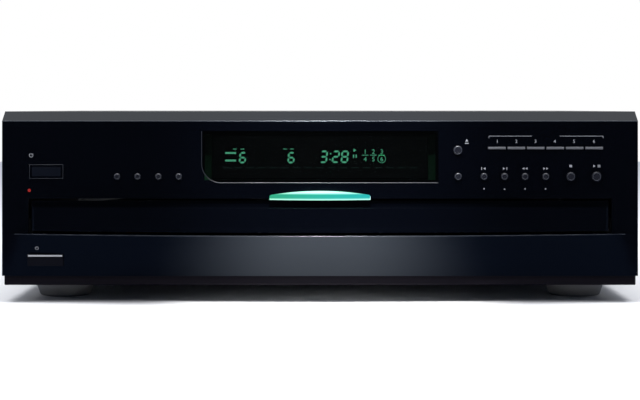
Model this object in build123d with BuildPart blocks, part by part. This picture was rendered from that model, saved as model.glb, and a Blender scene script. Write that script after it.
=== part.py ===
"""Six-disc carousel changer, in millimetres.

The origin is at floor level under the centre of the case. The front faces -Y, +X is to the right
as seen from the front, and +Z is up. The tray is closed and the playing mechanism is lowered.
"""
from build123d import *
import math
import os

os.makedirs("parts", exist_ok=True)

# ---- Case ----
width = 435.0
body_depth = 401.0            # upper front face to the outside of the rear panel
bow = 24.0                    # how far the lip of the lower front stands out at its middle
jack_reach = 8.0
foot_height = 12.0
strip_height = 6.5
lower_height = 28.9           # lower front, up to the lip under the tray door
slot_height = 24.0
upper_height = 53.0
bevel_rise = 6.6
bevel_run = 12.0
panel_depth = 16.0
wall = 2.5                    # plastic mouldings
sheet = 1.0                   # folded steel
gap = 0.3                     # between separate pieces that don't touch
turn_gap = 0.06               # round a turning pin

# ---- Front panel features ----
window_width = 162.1
window_height = 35.6
window_rise = 10.6            # above the slot
window_thickness = 2.0
window_scoop = 13.0           # the rounder lower left corner
lens_width = 69.0
lens_height = 6.0             # at the middle
lens_end_height = 3.2
lens_reach = 7.0
lens_hang = 0.8               # below the upper panel's edge
button_proud = 1.6
button_travel = 1.0
switch_pitch = 13.3           # disc buttons
key_row = 15.0                # the row of round buttons, above the slot

# ---- Discs, carousel and tray ----
wells = 6
disc_radius = 60.0
well_play = 0.5
web = 3.5                     # between neighbouring wells
rim = 1.5
carousel_height = 9.5
well_depth = 6.5
skirt_depth = 1.5
dome_radius = 57.5
dome_rise = 4.5
dome_slope = 60.0             # from the upright
cap_radius = 24.0
cap_height = 2.4
tray_lift = 2.1               # above the lip
tray_floor = 2.0
tray_height = 10.5
tray_play = 1.8               # round the carousel
tray_side = 3.2
tray_tail = 9.7
carousel_lift = 1.5
front_margin = 4.0
door_height = 16.1
door_set_back = 1.2           # behind the lip
door_end_radius = 5.0
flange_width = 7.0
flange_height = 4.5
slot_clearance = 1.0          # each side of the tray's flanges
upright = 1.56                # the door's inner wall
spindle_radius = 7.0
tray_travel = 258.0

# ---- Gears ----
tray_module = 1.0
pinion_teeth = 16
ring_teeth = 56
roulette_teeth = 24
fine_module = 0.8
fine_teeth = 20
tooth_share = 0.40            # of the pitch; the rest is the gap
pressure = math.radians(20)

# ---- Playing mechanism, in its own tilted frame from the hinge ----
hinge_y = 16.0
hinge_z = 42.0
lift_angle = 10.0
deck_top = 6.8
deck_sheet = 2.0
deck_half = 44.0
deck_end = 137.5
flange_drop = 7.0
pin_radius = 3.0
hub_radius = 14.5
hub_rise = 14.7               # disc seat above the deck
home_radius = 24.0            # pickup from the disc's centre
pickup_travel = 32.0
sled_half = 11.0
rod_radius = 1.5
rod_x = 14.6
follower_radius = 1.6
follower_length = 5.0
slider_sheet = 2.0

# ---- Derived places ----
half = width / 2
floor_z = foot_height + sheet
panel_bottom = foot_height + strip_height
lip_z = panel_bottom + lower_height
slot_top = lip_z + slot_height
bevel_z = slot_top + upper_height
top_z = bevel_z + bevel_rise
lip_y = -(bow + body_depth + jack_reach) / 2
face_y = lip_y + bow
panel_back = face_y + panel_depth
back_y = face_y + body_depth
inner_back = back_y - sheet
case_half = half - sheet - gap
well_radius = disc_radius + well_play
pitch_radius = (2 * well_radius + web) / (2 * math.sin(math.pi / wells))
carousel_radius = pitch_radius + well_radius + rim
door_back = face_y + 4.0
carousel_y = door_back + front_margin + carousel_radius
tray_z = lip_z + tray_lift
tray_top = tray_z + tray_height
recess_radius = carousel_radius + tray_play
tray_half = recess_radius + tray_side
tray_back = carousel_y + recess_radius + tray_tail
flange_half = tray_half + flange_width
slot_width = 2 * (flange_half + slot_clearance)
carousel_z = tray_z + tray_floor + carousel_lift
carousel_top = carousel_z + carousel_height
well_z = carousel_top - well_depth
dome_top = carousel_top + dome_rise
play_y = carousel_y + pitch_radius
hub_y = play_y - hinge_y
tilt = math.radians(lift_angle)
deck = Plane(
    origin=(0, hinge_y, hinge_z),
    x_dir=(1, 0, 0),
    z_dir=(0, math.sin(tilt), math.cos(tilt)),
)


def save(piece, name):
    """Label a finished piece and write its file."""
    piece.part.label = name
    export_step(piece.part, f"parts/{name}.step")


def block(x, y, z, mode=Mode.ADD):
    """A box between two values of x, of y and of z."""
    with Locations(((x[0] + x[1]) / 2, (y[0] + y[1]) / 2, (z[0] + z[1]) / 2)):
        Box(x[1] - x[0], y[1] - y[0], z[1] - z[0], mode=mode)


def peg(radius, at, length, mode=Mode.ADD):
    """An upright cylinder that starts at a point."""
    with Locations(at):
        Cylinder(radius, length, align=(Align.CENTER, Align.CENTER, Align.MIN), mode=mode)


def facing(y):
    """The plane at y seen from the front: sketches are drawn in x and z."""
    return Plane(origin=(0, y, 0), x_dir=(1, 0, 0), z_dir=(0, -1, 0))


def bowed(half_width, front, sag, back):
    """Plan of a front that bows forward by sag between two straight sides."""
    with BuildSketch() as plan:
        with BuildLine():
            ThreePointArc((-half_width, front), (0, front - sag), (half_width, front))
            Polyline((half_width, front), (half_width, back), (-half_width, back), (-half_width, front))
        make_face()
    return plan.sketch


def bow_at(x):
    """The y of the lip's arc at x."""
    radius = (half**2 + bow**2) / (2 * bow)
    return lip_y + radius - math.sqrt(radius**2 - x**2)


def tooth_points(radius, module, turn):
    """Corners of one straight-sided gear tooth at the angle turn."""
    tip = radius + 0.85 * module
    root = radius - 1.25 * module
    corners = []
    for side, rho in ((-1, root - 0.5), (-1, tip), (1, tip), (1, root - 0.5)):
        thick = tooth_share * math.pi * module - 2 * (rho - radius) * math.tan(pressure)
        angle = turn + side * thick / (2 * rho)
        corners.append((rho * math.cos(angle), rho * math.sin(angle)))
    return corners


def gear_outline(teeth, module, start=0.0):
    """Draw a spur gear in the open sketch, with a tooth at the angle start."""
    radius = teeth * module / 2
    Circle(radius - 1.25 * module)
    for step in range(teeth):
        Polygon(*tooth_points(radius, module, start + step * math.tau / teeth), align=None)


def rack_gaps(first, count, module):
    """Draw the gaps between rack teeth in the open sketch, from its x axis upward."""
    pitch = math.pi * module
    middle = pitch * (1 - tooth_share) / 2
    mouth = middle + 1.2 * module * math.tan(pressure)
    foot = middle - 1.25 * module * math.tan(pressure)
    for step in range(count):
        x = first + step * pitch
        Polygon(
            (x - mouth, -0.2 * module),
            (x + mouth, -0.2 * module),
            (x + foot, 2.25 * module),
            (x - foot, 2.25 * module),
            align=None,
        )


# ==== Case ====

# The bottom chassis: floor, side and front flanges, board posts, hinge ears and slider guides.
side_flange = 17.0
front_flange_top = lip_z - 3.4
ear_x = deck_half + 3.4
ear_sheet = 2.4
slider_y = hinge_y + deck_end + 0.6
guide_x = 54.0
slider_floor = floor_z + 2.0
slider_rail_top = slider_floor + 7.0
post_height = 4.0
post_radius = 3.2
board_x = (94.0, 188.0)
board_y = (22.0, 200.0)
foot_x = half - 35.5
foot_y = (face_y + 57.5, back_y - 43.5)
screw_radius = 1.9
screw_y = (panel_back + 24.0, inner_back - 34.0)
screw_z = floor_z + 8.0
with BuildPart() as bottom_chassis:
    block((-case_half, case_half), (panel_back, inner_back), (foot_height, floor_z))
    for side in (-1, 1):
        edge = sorted((side * case_half, side * (case_half - sheet)))
        block(edge, (panel_back, inner_back), (floor_z, floor_z + side_flange))
        ear = sorted((side * ear_x, side * (ear_x + ear_sheet)))
        block(ear, (hinge_y - 7, hinge_y + 7), (floor_z, hinge_z + 6))
        guide = sorted((side * (guide_x - 2), side * (guide_x + 2)))
        for front in (slider_y - gap - sheet, slider_y + slider_sheet + gap):
            block(guide, (front, front + sheet), (floor_z, slider_rail_top))
    block((-case_half, case_half), (panel_back, panel_back + sheet), (floor_z, front_flange_top))
    for x in (board_x[0] + 7, board_x[1] - 7):
        for y in (board_y[0] + 7, board_y[1] - 7):
            peg(post_radius, (x, y, floor_z), post_height)
    with Locations(Location((0, hinge_y, hinge_z), (0, 90, 0))):
        Cylinder(pin_radius + turn_gap, 4 * ear_x, mode=Mode.SUBTRACT)
    for y in screw_y:
        with Locations(Location((0, y, screw_z), (0, 90, 0))):
            Cylinder(screw_radius + gap, width, mode=Mode.SUBTRACT)
save(bottom_chassis, "bottom_chassis")

# The plinth strip fills the space under the front panel.
strip_set_back = 2.0
with BuildPart() as lower_strip:
    block(
        (-case_half, case_half),
        (face_y + strip_set_back, panel_back - gap),
        (foot_height, panel_bottom - gap),
    )
    chamfer(lower_strip.edges().filter_by(Axis.X).group_by(Axis.Y)[0].sort_by(Axis.Z)[0], 1.0)
save(lower_strip, "lower_strip")

# Four tapered feet with a rounded lower edge.
foot_radius = 22.0
foot_taper = 4.0
with BuildPart() as feet:
    with BuildSketch(Plane.XY.offset(foot_height)):
        with Locations(*[(x, y) for x in (-foot_x, foot_x) for y in foot_y]):
            Circle(foot_radius)
    extrude(amount=-foot_height, taper=math.degrees(math.atan(foot_taper / foot_height)))
    fillet(feet.edges().group_by(Axis.Z)[0], 2.0)
save(feet, "feet")

# The top cover: top and two sides in one folded sheet, with cooling slots over the transformer.
vent_rows = 3
vent_columns = 14
vent_pitch = 7.0
vent_length = 30.0
transformer_x = (-186.0, -112.0)
transformer_y = (118.0, 184.0)
with BuildPart() as top_cover:
    block((-half, half), (panel_back + gap, back_y), (floor_z, top_z))
    block(
        (-half + sheet, half - sheet),
        (panel_back, back_y + 1),
        (foot_height, top_z - sheet),
        mode=Mode.SUBTRACT,
    )
    with BuildSketch(Plane.XY.offset(top_z)):
        with Locations(((transformer_x[0] + transformer_x[1]) / 2, transformer_y[0])):
            with GridLocations(vent_pitch, vent_length + 8, vent_columns, vent_rows):
                SlotOverall(vent_length, 2.6, rotation=90)
    extrude(amount=-2 * sheet, mode=Mode.SUBTRACT)
    for y in screw_y:
        with Locations(Location((0, y, screw_z), (0, 90, 0))):
            Cylinder(screw_radius + gap, width + 2, mode=Mode.SUBTRACT)
    fillet(top_cover.edges().filter_by(Axis.Y).group_by(Axis.Z)[-1].sort_by(Axis.X)[0], 0.8 * sheet)
    fillet(top_cover.edges().filter_by(Axis.Y).group_by(Axis.Z)[-1].sort_by(Axis.X)[-1], 0.8 * sheet)
save(top_cover, "top_cover")

# The rear panel, with holes for the jacks, the optical output and the cord's gland.
jack_x = (board_x[0] + 18.0, board_x[0] + 32.0)
jack_z = floor_z + post_height + 14.0
jack_radius = 4.15
optical_x = board_x[1] - 24.0
optical_size = 9.8
gland_x = -case_half + 26.0
gland_z = floor_z + 16.0
gland_radius = 6.0
gland_bore = 3.5
rear_screws = (-case_half + 8, case_half - 8, -70.0, 60.0)
rear_screw_z = floor_z + 8.0
with BuildPart() as rear_panel:
    block((-case_half, case_half), (inner_back, back_y), (foot_height, top_z - sheet - gap))
    with BuildSketch(facing(back_y)):
        with Locations(*[(x, jack_z) for x in jack_x]):
            Circle(jack_radius + 1.2)
        with Locations((optical_x, jack_z)):
            Rectangle(optical_size + 0.6, optical_size + 0.6)
        with Locations((gland_x, gland_z)):
            Circle(gland_radius)
        with Locations(*[(x, rear_screw_z) for x in rear_screws]):
            Circle(screw_radius + gap)
    extrude(amount=sheet, both=True, mode=Mode.SUBTRACT)
save(rear_panel, "rear_panel")

# Screws: two in each side of the cover and a row in the rear panel.
head_radius = 3.6
head_height = 2.2
shank = 6.0
with BuildPart() as case_screws:
    for side in (-1, 1):
        for y in screw_y:
            with Locations(Location((side * half, y, screw_z), (0, side * 90, 0))):
                Cylinder(head_radius, head_height, align=(Align.CENTER, Align.CENTER, Align.MIN))
                Cylinder(screw_radius, shank, align=(Align.CENTER, Align.CENTER, Align.MAX))
    for x in rear_screws:
        with Locations(Location((x, back_y, rear_screw_z), (-90, 0, 0))):
            Cylinder(head_radius, head_height, align=(Align.CENTER, Align.CENTER, Align.MIN))
            Cylinder(screw_radius, shank, align=(Align.CENTER, Align.CENTER, Align.MAX))
save(case_screws, "case_screws")


# ==== Front ====

# Every button: name, x, z above the slot, and its size. Round ones have one size, bars two.
select_x = 154.2              # middle of the row of disc buttons
round_keys = (
    ("repeat_button", -138.8, key_row, 2.3, 0.0),
    ("random_button", -124.8, key_row, 2.3, 0.0),
    ("dimmer_button", -110.5, key_row, 2.3, 0.0),
    ("display_button", -96.6, key_row, 2.3, 0.0),
    ("open_close_button", 94.3, key_row + 18.0, 3.2, 0.0),
    ("disc_skip_button", 94.5, key_row, 2.6, 0.0),
    ("previous_button", 112.2, key_row, 2.5, 0.0),
    ("next_button", 126.2, key_row, 2.5, 0.0),
    ("rewind_button", 140.2, key_row, 2.5, 0.0),
    ("forward_button", 154.4, key_row, 2.5, 0.0),
    ("stop_button", 171.5, key_row, 3.1, 6.2),
    ("play_button", 189.1, key_row, 3.3, 6.2),
)
bar_keys = tuple(
    (f"disc_{number}_button", select_x + (number - 3.5) * switch_pitch, 34.5, 11.9, 1.6)
    for number in range(1, 7)
)
standby_x = -187.2
standby_rise = 18.5
standby_size = (20.2, 6.8)
standby_frame = 1.4
power_x = -187.3
power_rise = 11.1             # above the panel's lower edge
power_size = (24.5, 8.0)
lamp_x = -198.8
lamp_rise = 5.6
lamp_radius = 1.1
key_gap = 0.25
ring_width = 0.7
ring_rise = 0.5
board_gap = 6.0               # from the wall to the display board
board_sheet = 1.6
display_front = face_y + wall + board_gap + 3.5
board_low = 5.0
board_high = 49.0

panel_profile = [
    (face_y, panel_bottom),
    (face_y, bevel_z),
    (face_y + bevel_run, top_z),
    (panel_back, top_z),
    (panel_back, panel_bottom),
]
cavity_profile = [
    (face_y + wall, panel_bottom + wall),
    (face_y + wall, bevel_z - 0.4 * wall),
    (face_y + bevel_run + 0.4 * wall, top_z - wall),
    (panel_back + 1, top_z - wall),
    (panel_back + 1, panel_bottom + wall),
]
with BuildPart() as front_panel:
    with BuildSketch(Plane.YZ):
        Polygon(*panel_profile, align=None)
    extrude(amount=half, both=True)
    with BuildSketch(Plane.XY.offset(panel_bottom)):
        add(bowed(half, face_y, 0.6, panel_back))
    with BuildSketch(Plane.XY.offset(lip_z)):
        add(bowed(half, face_y, bow, panel_back))
    loft(ruled=True)
    with BuildSketch(Plane.YZ):
        Polygon(*cavity_profile, align=None)
    extrude(amount=half - wall, both=True, mode=Mode.SUBTRACT)
    with BuildSketch(Plane.XY.offset(panel_bottom + wall)):
        add(bowed(half - wall, face_y + wall, 2.2, panel_back + 1))
    with BuildSketch(Plane.XY.offset(lip_z - wall)):
        add(bowed(half - wall, face_y + wall, bow - 1.6, panel_back + 1))
    loft(ruled=True, mode=Mode.SUBTRACT)
    # The tray's slot, and the display window's opening with a ledge behind its plate.
    with BuildSketch(facing(face_y + wall + 1)):
        with Locations((0, (lip_z + slot_top) / 2)):
            Rectangle(slot_width, slot_height)
    extrude(amount=bow + wall, mode=Mode.SUBTRACT)
    with BuildSketch(facing(face_y)):
        with Locations((0, slot_top + window_rise + window_height / 2)):
            Rectangle(window_width - 4, window_height - 4)
    extrude(amount=-wall, mode=Mode.SUBTRACT)
    with BuildSketch(facing(face_y)):
        with Locations((0, slot_top + window_rise + window_height / 2)):
            opening = Rectangle(window_width, window_height)
        corners = opening.vertices().sort_by(Axis.X)[:2].sort_by(Axis.Z)
        fillet(corners[0], window_scoop)
    extrude(amount=-window_thickness, mode=Mode.SUBTRACT)
    # Posts behind the wall that carry the display board.
    for x in (-196.0, -86.0, 86.0, 203.0):
        with Locations(Location((x, face_y + wall, slot_top + board_low + 3), (-90, 0, 0))):
            Cylinder(2.2, display_front - face_y - wall, align=(Align.CENTER, Align.CENTER, Align.MIN))
    # Frames standing out round the standby button and the two large buttons.
    with BuildSketch(facing(face_y)):
        with Locations((standby_x, slot_top + standby_rise)):
            Rectangle(standby_size[0] + 2 * standby_frame, standby_size[1] + 2 * standby_frame)
        for _, x, rise, _, ring in round_keys:
            if ring:
                with Locations((x, slot_top + rise)):
                    Circle(ring)
                    Circle(ring - ring_width, mode=Mode.SUBTRACT)
    extrude(amount=ring_rise)
    # Holes for the buttons, the lamp and the power switch.
    with BuildSketch(facing(face_y - 1)):
        for _, x, rise, radius, _ in round_keys:
            with Locations((x, slot_top + rise)):
                Circle(radius + key_gap)
        for _, x, rise, across, tall in bar_keys:
            with Locations((x, slot_top + rise)):
                Rectangle(across + 2 * key_gap, tall + 2 * key_gap)
        with Locations((standby_x, slot_top + standby_rise)):
            Rectangle(standby_size[0] + 2 * key_gap, standby_size[1] + 2 * key_gap)
        with Locations((lamp_x, slot_top + lamp_rise)):
            Circle(lamp_radius + key_gap / 5)
    extrude(amount=-(wall + 2), mode=Mode.SUBTRACT)
    with BuildSketch(facing(face_y - bow)):
        with Locations((power_x, panel_bottom + power_rise)):
            Rectangle(power_size[0] + 2 * key_gap, power_size[1] + 2 * key_gap)
    extrude(amount=-(bow + wall + 2), mode=Mode.SUBTRACT)
save(front_panel, "front_panel")

# The display window: a flush plate behind which the tube stands.
with BuildPart() as display_window:
    with BuildSketch(facing(face_y + 0.1)):
        with Locations((0, slot_top + window_rise + window_height / 2)):
            pane = Rectangle(window_width - 2 * key_gap, window_height - 2 * key_gap)
        fillet(pane.vertices().sort_by(Axis.X)[:2].sort_by(Axis.Z)[0], window_scoop)
    extrude(amount=-(window_thickness - 0.1))
save(display_window, "display_window")

# The display tube stands on the board, close behind the window.
tube_size = (148.0, 31.0)
with BuildPart() as display_tube:
    with BuildSketch(facing(face_y + wall + gap)):
        with Locations((0, slot_top + window_rise + window_height / 2)):
            Rectangle(tube_size[0], tube_size[1])
    extrude(amount=-(display_front - face_y - wall - gap))
    chamfer(display_tube.edges().group_by(Axis.Y)[0], 1.0)
save(display_tube, "display_tube")

# The board behind the tube, with a switch under every button.
with BuildPart() as display_board:
    with BuildSketch(facing(display_front)):
        with Locations((0, slot_top + (board_low + board_high) / 2)):
            Rectangle(2 * half - 2 * wall - 14, board_high - board_low)
    extrude(amount=-board_sheet)
    with BuildSketch(facing(display_front)):
        for _, x, rise, _, _ in round_keys + bar_keys:
            with Locations((x, slot_top + rise)):
                Rectangle(5.0, 3.0)
        with Locations((standby_x, slot_top + standby_rise)):
            Rectangle(5.0, 5.0)
    extrude(amount=2.0)
save(display_board, "display_board")

# The standby lamp sits in its hole and reaches back to the board.
with BuildPart() as standby_lamp:
    with Locations(Location((lamp_x, face_y - 0.4, slot_top + lamp_rise), (-90, 0, 0))):
        Cylinder(lamp_radius, display_front - face_y + 0.4, align=(Align.CENTER, Align.CENTER, Align.MIN))
save(standby_lamp, "standby_lamp")

# The arched lens lies flat against the panel and hangs a little over the slot's upper edge.
with BuildPart() as light_lens:
    with BuildSketch(Plane.XY.offset(slot_top - lens_hang)):
        with BuildLine():
            ThreePointArc(
                (-lens_width / 2, face_y - 1.5),
                (0, face_y - lens_reach),
                (lens_width / 2, face_y - 1.5),
            )
            Line((lens_width / 2, face_y - 1.5), (lens_width / 2, face_y - 0.02))
            Line((lens_width / 2, face_y - 0.02), (-lens_width / 2, face_y - 0.02))
            Line((-lens_width / 2, face_y - 0.02), (-lens_width / 2, face_y - 1.5))
        make_face()
    extrude(amount=lens_height)
    with BuildSketch(facing(face_y)) as outline:
        with BuildLine():
            base = slot_top - lens_hang
            ThreePointArc(
                (-lens_width / 2, base + lens_end_height),
                (0, base + lens_height),
                (lens_width / 2, base + lens_end_height),
            )
            Line((lens_width / 2, base + lens_end_height), (lens_width / 2, base))
            Line((lens_width / 2, base), (-lens_width / 2, base))
            Line((-lens_width / 2, base), (-lens_width / 2, base + lens_end_height))
        make_face()
        fillet(outline.vertices().group_by(Axis.Y)[-1], 1.4)
    extrude(amount=2 * lens_reach, mode=Mode.INTERSECT)
save(light_lens, "light_lens")


def plunger(y, x, z, reach):
    """A stem from a button's back towards its switch."""
    with Locations(Location((x, y, z), (-90, 0, 0))):
        Cylinder(1.0, reach, align=(Align.CENTER, Align.CENTER, Align.MIN))


# The buttons: a cap, a collar behind the panel's wall and a stem that stops short of its switch.
stem_reach = board_gap + 1.5 - button_travel - gap - 2 * 0.8
collar_y = face_y + wall + gap
for name, x, rise, radius, ring in round_keys:
    crown = 0.5 if ring else 0.7
    with BuildPart() as round_button:
        with Locations(Location((x, face_y - button_proud, slot_top + rise), (-90, 0, 0))):
            Cylinder(radius, button_proud + wall + gap, align=(Align.CENTER, Align.CENTER, Align.MIN))
        with Locations(Location((x, collar_y, slot_top + rise), (-90, 0, 0))):
            Cylinder(radius + 0.9, 0.8, align=(Align.CENTER, Align.CENTER, Align.MIN))
        plunger(collar_y + 0.8, x, slot_top + rise, stem_reach)
        fillet(round_button.edges().group_by(Axis.Y)[0], crown)
    save(round_button, name)

for name, x, rise, across, tall in bar_keys:
    with BuildPart() as bar_button:
        with BuildSketch(facing(face_y - 0.9)):
            with Locations((x, slot_top + rise)):
                Rectangle(across, tall)
        extrude(amount=-(0.9 + wall + gap))
        with BuildSketch(facing(collar_y)):
            with Locations((x, slot_top + rise)):
                Rectangle(across + 1.0, tall + 1.6)
        extrude(amount=-0.8)
        plunger(collar_y + 0.8, x, slot_top + rise, stem_reach)
        fillet(bar_button.edges().group_by(Axis.Y)[0].filter_by(Axis.X), 0.4)
    save(bar_button, name)

with BuildPart() as standby_button:
    with BuildSketch(facing(face_y - 0.2)):
        with Locations((standby_x, slot_top + standby_rise)):
            Rectangle(*standby_size)
    extrude(amount=-(0.2 + wall + gap))
    with BuildSketch(facing(collar_y)):
        with Locations((standby_x, slot_top + standby_rise)):
            Rectangle(standby_size[0] + 2, standby_size[1] + 2)
    extrude(amount=-0.8)
    plunger(collar_y + 0.8, standby_x, slot_top + standby_rise, stem_reach)
    fillet(standby_button.edges().group_by(Axis.Y)[0], 0.3)
save(standby_button, "standby_button")

# The power switch: a bar with a ledge along its top and a drawn-in underside.
power_low = panel_bottom + power_rise - power_size[1] / 2
power_front = face_y + (bow_at(power_x) - face_y) * power_rise / lower_height - 2.6
power_profile = [
    (power_front, power_low + power_size[1]),
    (power_front, power_low + power_size[1] - 1.6),
    (power_front + 0.9, power_low + power_size[1] - 1.9),
    (power_front + 1.9, power_low),
    (face_y + wall + 3, power_low),
    (face_y + wall + 3, power_low + power_size[1]),
]
with BuildPart() as power_button:
    with BuildSketch(Plane.YZ.offset(power_x)):
        Polygon(*power_profile, align=None)
    extrude(amount=power_size[0] / 2, both=True)
    with BuildSketch(facing(face_y + wall + 3)):
        with Locations((power_x, panel_bottom + power_rise)):
            Rectangle(8.0, 5.0)
    extrude(amount=-6.0)
save(power_button, "power_button")


# ==== Tray ====

# The tray: a shallow pan with a round recess for the carousel, side flanges with a rack under
# the right one, a spindle at the middle and an opening over the playing mechanism.
pinion_y = -75.0
pinion_width = 4.5
rack_x = (tray_half + 2.0, tray_half + 2.0 + pinion_width + 0.5)
rack_pitch = math.pi * tray_module
rack_count = math.ceil((tray_travel + 16) / rack_pitch)
hub_hole = hub_radius + 4.5
path_half = 18.0
path_end = home_radius + pickup_travel + 9.5
spindle_top = dome_top - 2.0
with BuildPart() as tray:
    block((-tray_half, tray_half), (door_back, tray_back), (tray_z, tray_top))
    peg(recess_radius, (0, carousel_y, tray_z + tray_floor), tray_height, mode=Mode.SUBTRACT)
    with BuildSketch(Plane.XY.offset(tray_z)):
        with Locations((0, (door_back + tray_back) / 2)):
            Rectangle(2 * tray_half - 4.4, tray_back - door_back - 4.4)
        with Locations((0, carousel_y)):
            Circle(recess_radius + 2.2, mode=Mode.SUBTRACT)
    extrude(amount=tray_height - 2.0, mode=Mode.SUBTRACT)
    for side in (-1, 1):
        flange = sorted((side * (tray_half - 1), side * flange_half))
        block(flange, (door_back, tray_back), (tray_z, tray_z + flange_height))
    with BuildSketch(Plane(origin=(rack_x[0], 0, tray_z), x_dir=(0, 1, 0), z_dir=(1, 0, 0))):
        rack_gaps(pinion_y - 2 * rack_pitch, rack_count, tray_module)
    extrude(amount=rack_x[1] - rack_x[0], mode=Mode.SUBTRACT)
    with BuildSketch(Plane.XY.offset(tray_z - 1)):
        with Locations((0, play_y)):
            Circle(hub_hole + 2)
        with Locations((0, play_y - path_end / 2)):
            Rectangle(2 * path_half + 6, path_end + 4)
    extrude(amount=tray_floor + 2, mode=Mode.SUBTRACT)
    peg(spindle_radius, (0, carousel_y, tray_z + tray_floor), spindle_top - tray_z - tray_floor)
    peg(spindle_radius + 8, (0, carousel_y, tray_z + tray_floor), carousel_lift - turn_gap)
save(tray, "tray")

# The tray's door: bowed in plan, with round ends and a dark upright behind it that closes the slot.
door_half = flange_half - 0.8
door_end = bow_at(door_half) + door_set_back
upright_top = slot_top - lens_hang - 0.8
with BuildPart() as tray_front:
    with BuildSketch(Plane.XY.offset(tray_z)):
        with BuildLine():
            ThreePointArc((-door_half, door_end), (0, lip_y + door_set_back), (door_half, door_end))
            Line((door_half, door_end), (door_half, door_back - turn_gap))
            Line((door_half, door_back - turn_gap), (-door_half, door_back - turn_gap))
            Line((-door_half, door_back - turn_gap), (-door_half, door_end))
        make_face()
    extrude(amount=door_height)
    ends = tray_front.edges().filter_by(Axis.Z).group_by(Axis.Y)[0]
    fillet(ends, min(door_end_radius, 0.8 * (door_back - turn_gap - door_end)))
    with BuildSketch(Plane.XY.offset(tray_z + wall)):
        with BuildLine():
            inner_half = door_half - 2 * wall
            inner = bow_at(inner_half) + door_set_back + wall
            ThreePointArc((-inner_half, inner), (0, lip_y + door_set_back + wall), (inner_half, inner))
            Line((inner_half, inner), (inner_half, door_back - wall))
            Line((inner_half, door_back - wall), (-inner_half, door_back - wall))
            Line((-inner_half, door_back - wall), (-inner_half, inner))
        make_face()
    extrude(amount=door_height - 2 * wall, mode=Mode.SUBTRACT)
    block(
        (-door_half, door_half),
        (door_back - upright, door_back - turn_gap),
        (tray_z, upright_top),
    )
save(tray_front, "tray_front")

# The carousel: six wells round a raised dome, each open inward for the hub and the pickup.
ring_radius = ring_teeth * tray_module / 2
roulette_radius = roulette_teeth * tray_module / 2
gear_level = carousel_z + 4.6
gear_width = 2.6
bore = spindle_radius + turn_gap
with BuildPart() as carousel:
    peg(carousel_radius, (0, carousel_y, carousel_z), carousel_height)
    with BuildSketch(Plane.XY.offset(carousel_top)):
        with Locations((0, carousel_y)):
            Circle(dome_radius)
    extrude(amount=dome_rise, taper=dome_slope)
    peg(carousel_radius - 2, (0, carousel_y, carousel_z), skirt_depth, mode=Mode.SUBTRACT)
    with BuildSketch(Plane.XY.offset(well_z)):
        with Locations((0, carousel_y)):
            with PolarLocations(pitch_radius, wells, start_angle=90):
                Circle(well_radius)
    extrude(amount=well_depth + 1, mode=Mode.SUBTRACT)
    with BuildSketch(Plane.XY.offset(carousel_z)):
        with Locations((0, carousel_y)):
            with PolarLocations(pitch_radius, wells, start_angle=90):
                Circle(hub_hole)
            with PolarLocations(pitch_radius - path_end / 2, wells, start_angle=90):
                Rectangle(path_end, 2 * path_half)
    extrude(amount=carousel_height, mode=Mode.SUBTRACT)
    peg(dome_radius - 2, (0, carousel_y, carousel_z), carousel_height - 1, mode=Mode.SUBTRACT)
    with BuildSketch(Plane.XY.offset(carousel_top - 1)):
        with Locations((0, carousel_y)):
            Circle(dome_radius - 2)
    extrude(amount=dome_rise - 1, taper=dome_slope, mode=Mode.SUBTRACT)
    peg(spindle_radius + 6, (0, carousel_y, carousel_z), dome_top - carousel_z)
    with BuildSketch(Plane(origin=(0, carousel_y, gear_level))):
        gear_outline(ring_teeth, tray_module, math.pi / ring_teeth)
    extrude(amount=gear_width)
    with BuildSketch(Plane(origin=(0, carousel_y, gear_level + gear_width))):
        Circle(ring_radius - 4)
    extrude(amount=dome_top - 1 - gear_level - gear_width)
    peg(bore, (0, carousel_y, carousel_z - 1), dome_top, mode=Mode.SUBTRACT)
save(carousel, "carousel")

# The cap over the carousel's centre.
with BuildPart() as carousel_cap:
    peg(cap_radius, (0, carousel_y, dome_top), cap_height)
    fillet(carousel_cap.edges().group_by(Axis.Z)[-1], 1.4)
    peg(spindle_radius + 1, (0, carousel_y, dome_top - 0.01), 0.6, mode=Mode.SUBTRACT)
save(carousel_cap, "carousel_cap")

# The roulette motor stands on the tray under the dome; its gear drives the ring gear.
roulette_x = -(ring_radius + roulette_radius)
motor_radius = 10.0
floor_top = tray_z + tray_floor
with BuildPart() as roulette_motor:
    peg(motor_radius, (roulette_x, carousel_y, floor_top), gear_level - gap - floor_top)
    peg(2.0, (roulette_x, carousel_y, floor_top), gear_level + gear_width + 0.8 - floor_top)
save(roulette_motor, "roulette_motor")

with BuildPart() as roulette_gear:
    with BuildSketch(Plane(origin=(roulette_x, carousel_y, gear_level))):
        gear_outline(roulette_teeth, tray_module)
        Circle(2.0 + turn_gap, mode=Mode.SUBTRACT)
    extrude(amount=gear_width)
save(roulette_gear, "roulette_gear")

# The tray's rails: an upright on a foot, with a channel in which the flange runs.
rail_web = 3.0
rail_x = flange_half + 0.8
channel = (tray_z - gap, tray_z + flange_height + gap)
rail_y = (panel_back + 4, tray_back)
for side, name in ((-1, "tray_rail_left"), (1, "tray_rail_right")):
    with BuildPart() as tray_rail:
        block(sorted((side * rail_x, side * (rail_x + rail_web))), rail_y, (floor_z, channel[1] + 2))
        block(sorted((side * (rail_x - 10.5), side * rail_x)), rail_y, (floor_z, floor_z + 2))
        block(sorted((side * (tray_half + 0.8), side * rail_x)), rail_y, (channel[0] - 2.2, channel[0]))
        block(sorted((side * (tray_half + 2), side * rail_x)), rail_y, (channel[1], channel[1] + 2))
        if side > 0:
            pinion_notch = (pinion_y - 12, pinion_y + 12)
            block((tray_half - 1, rail_x), pinion_notch, (floor_z + 3, channel[0] + 0.5), mode=Mode.SUBTRACT)
    save(tray_rail, name)

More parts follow.
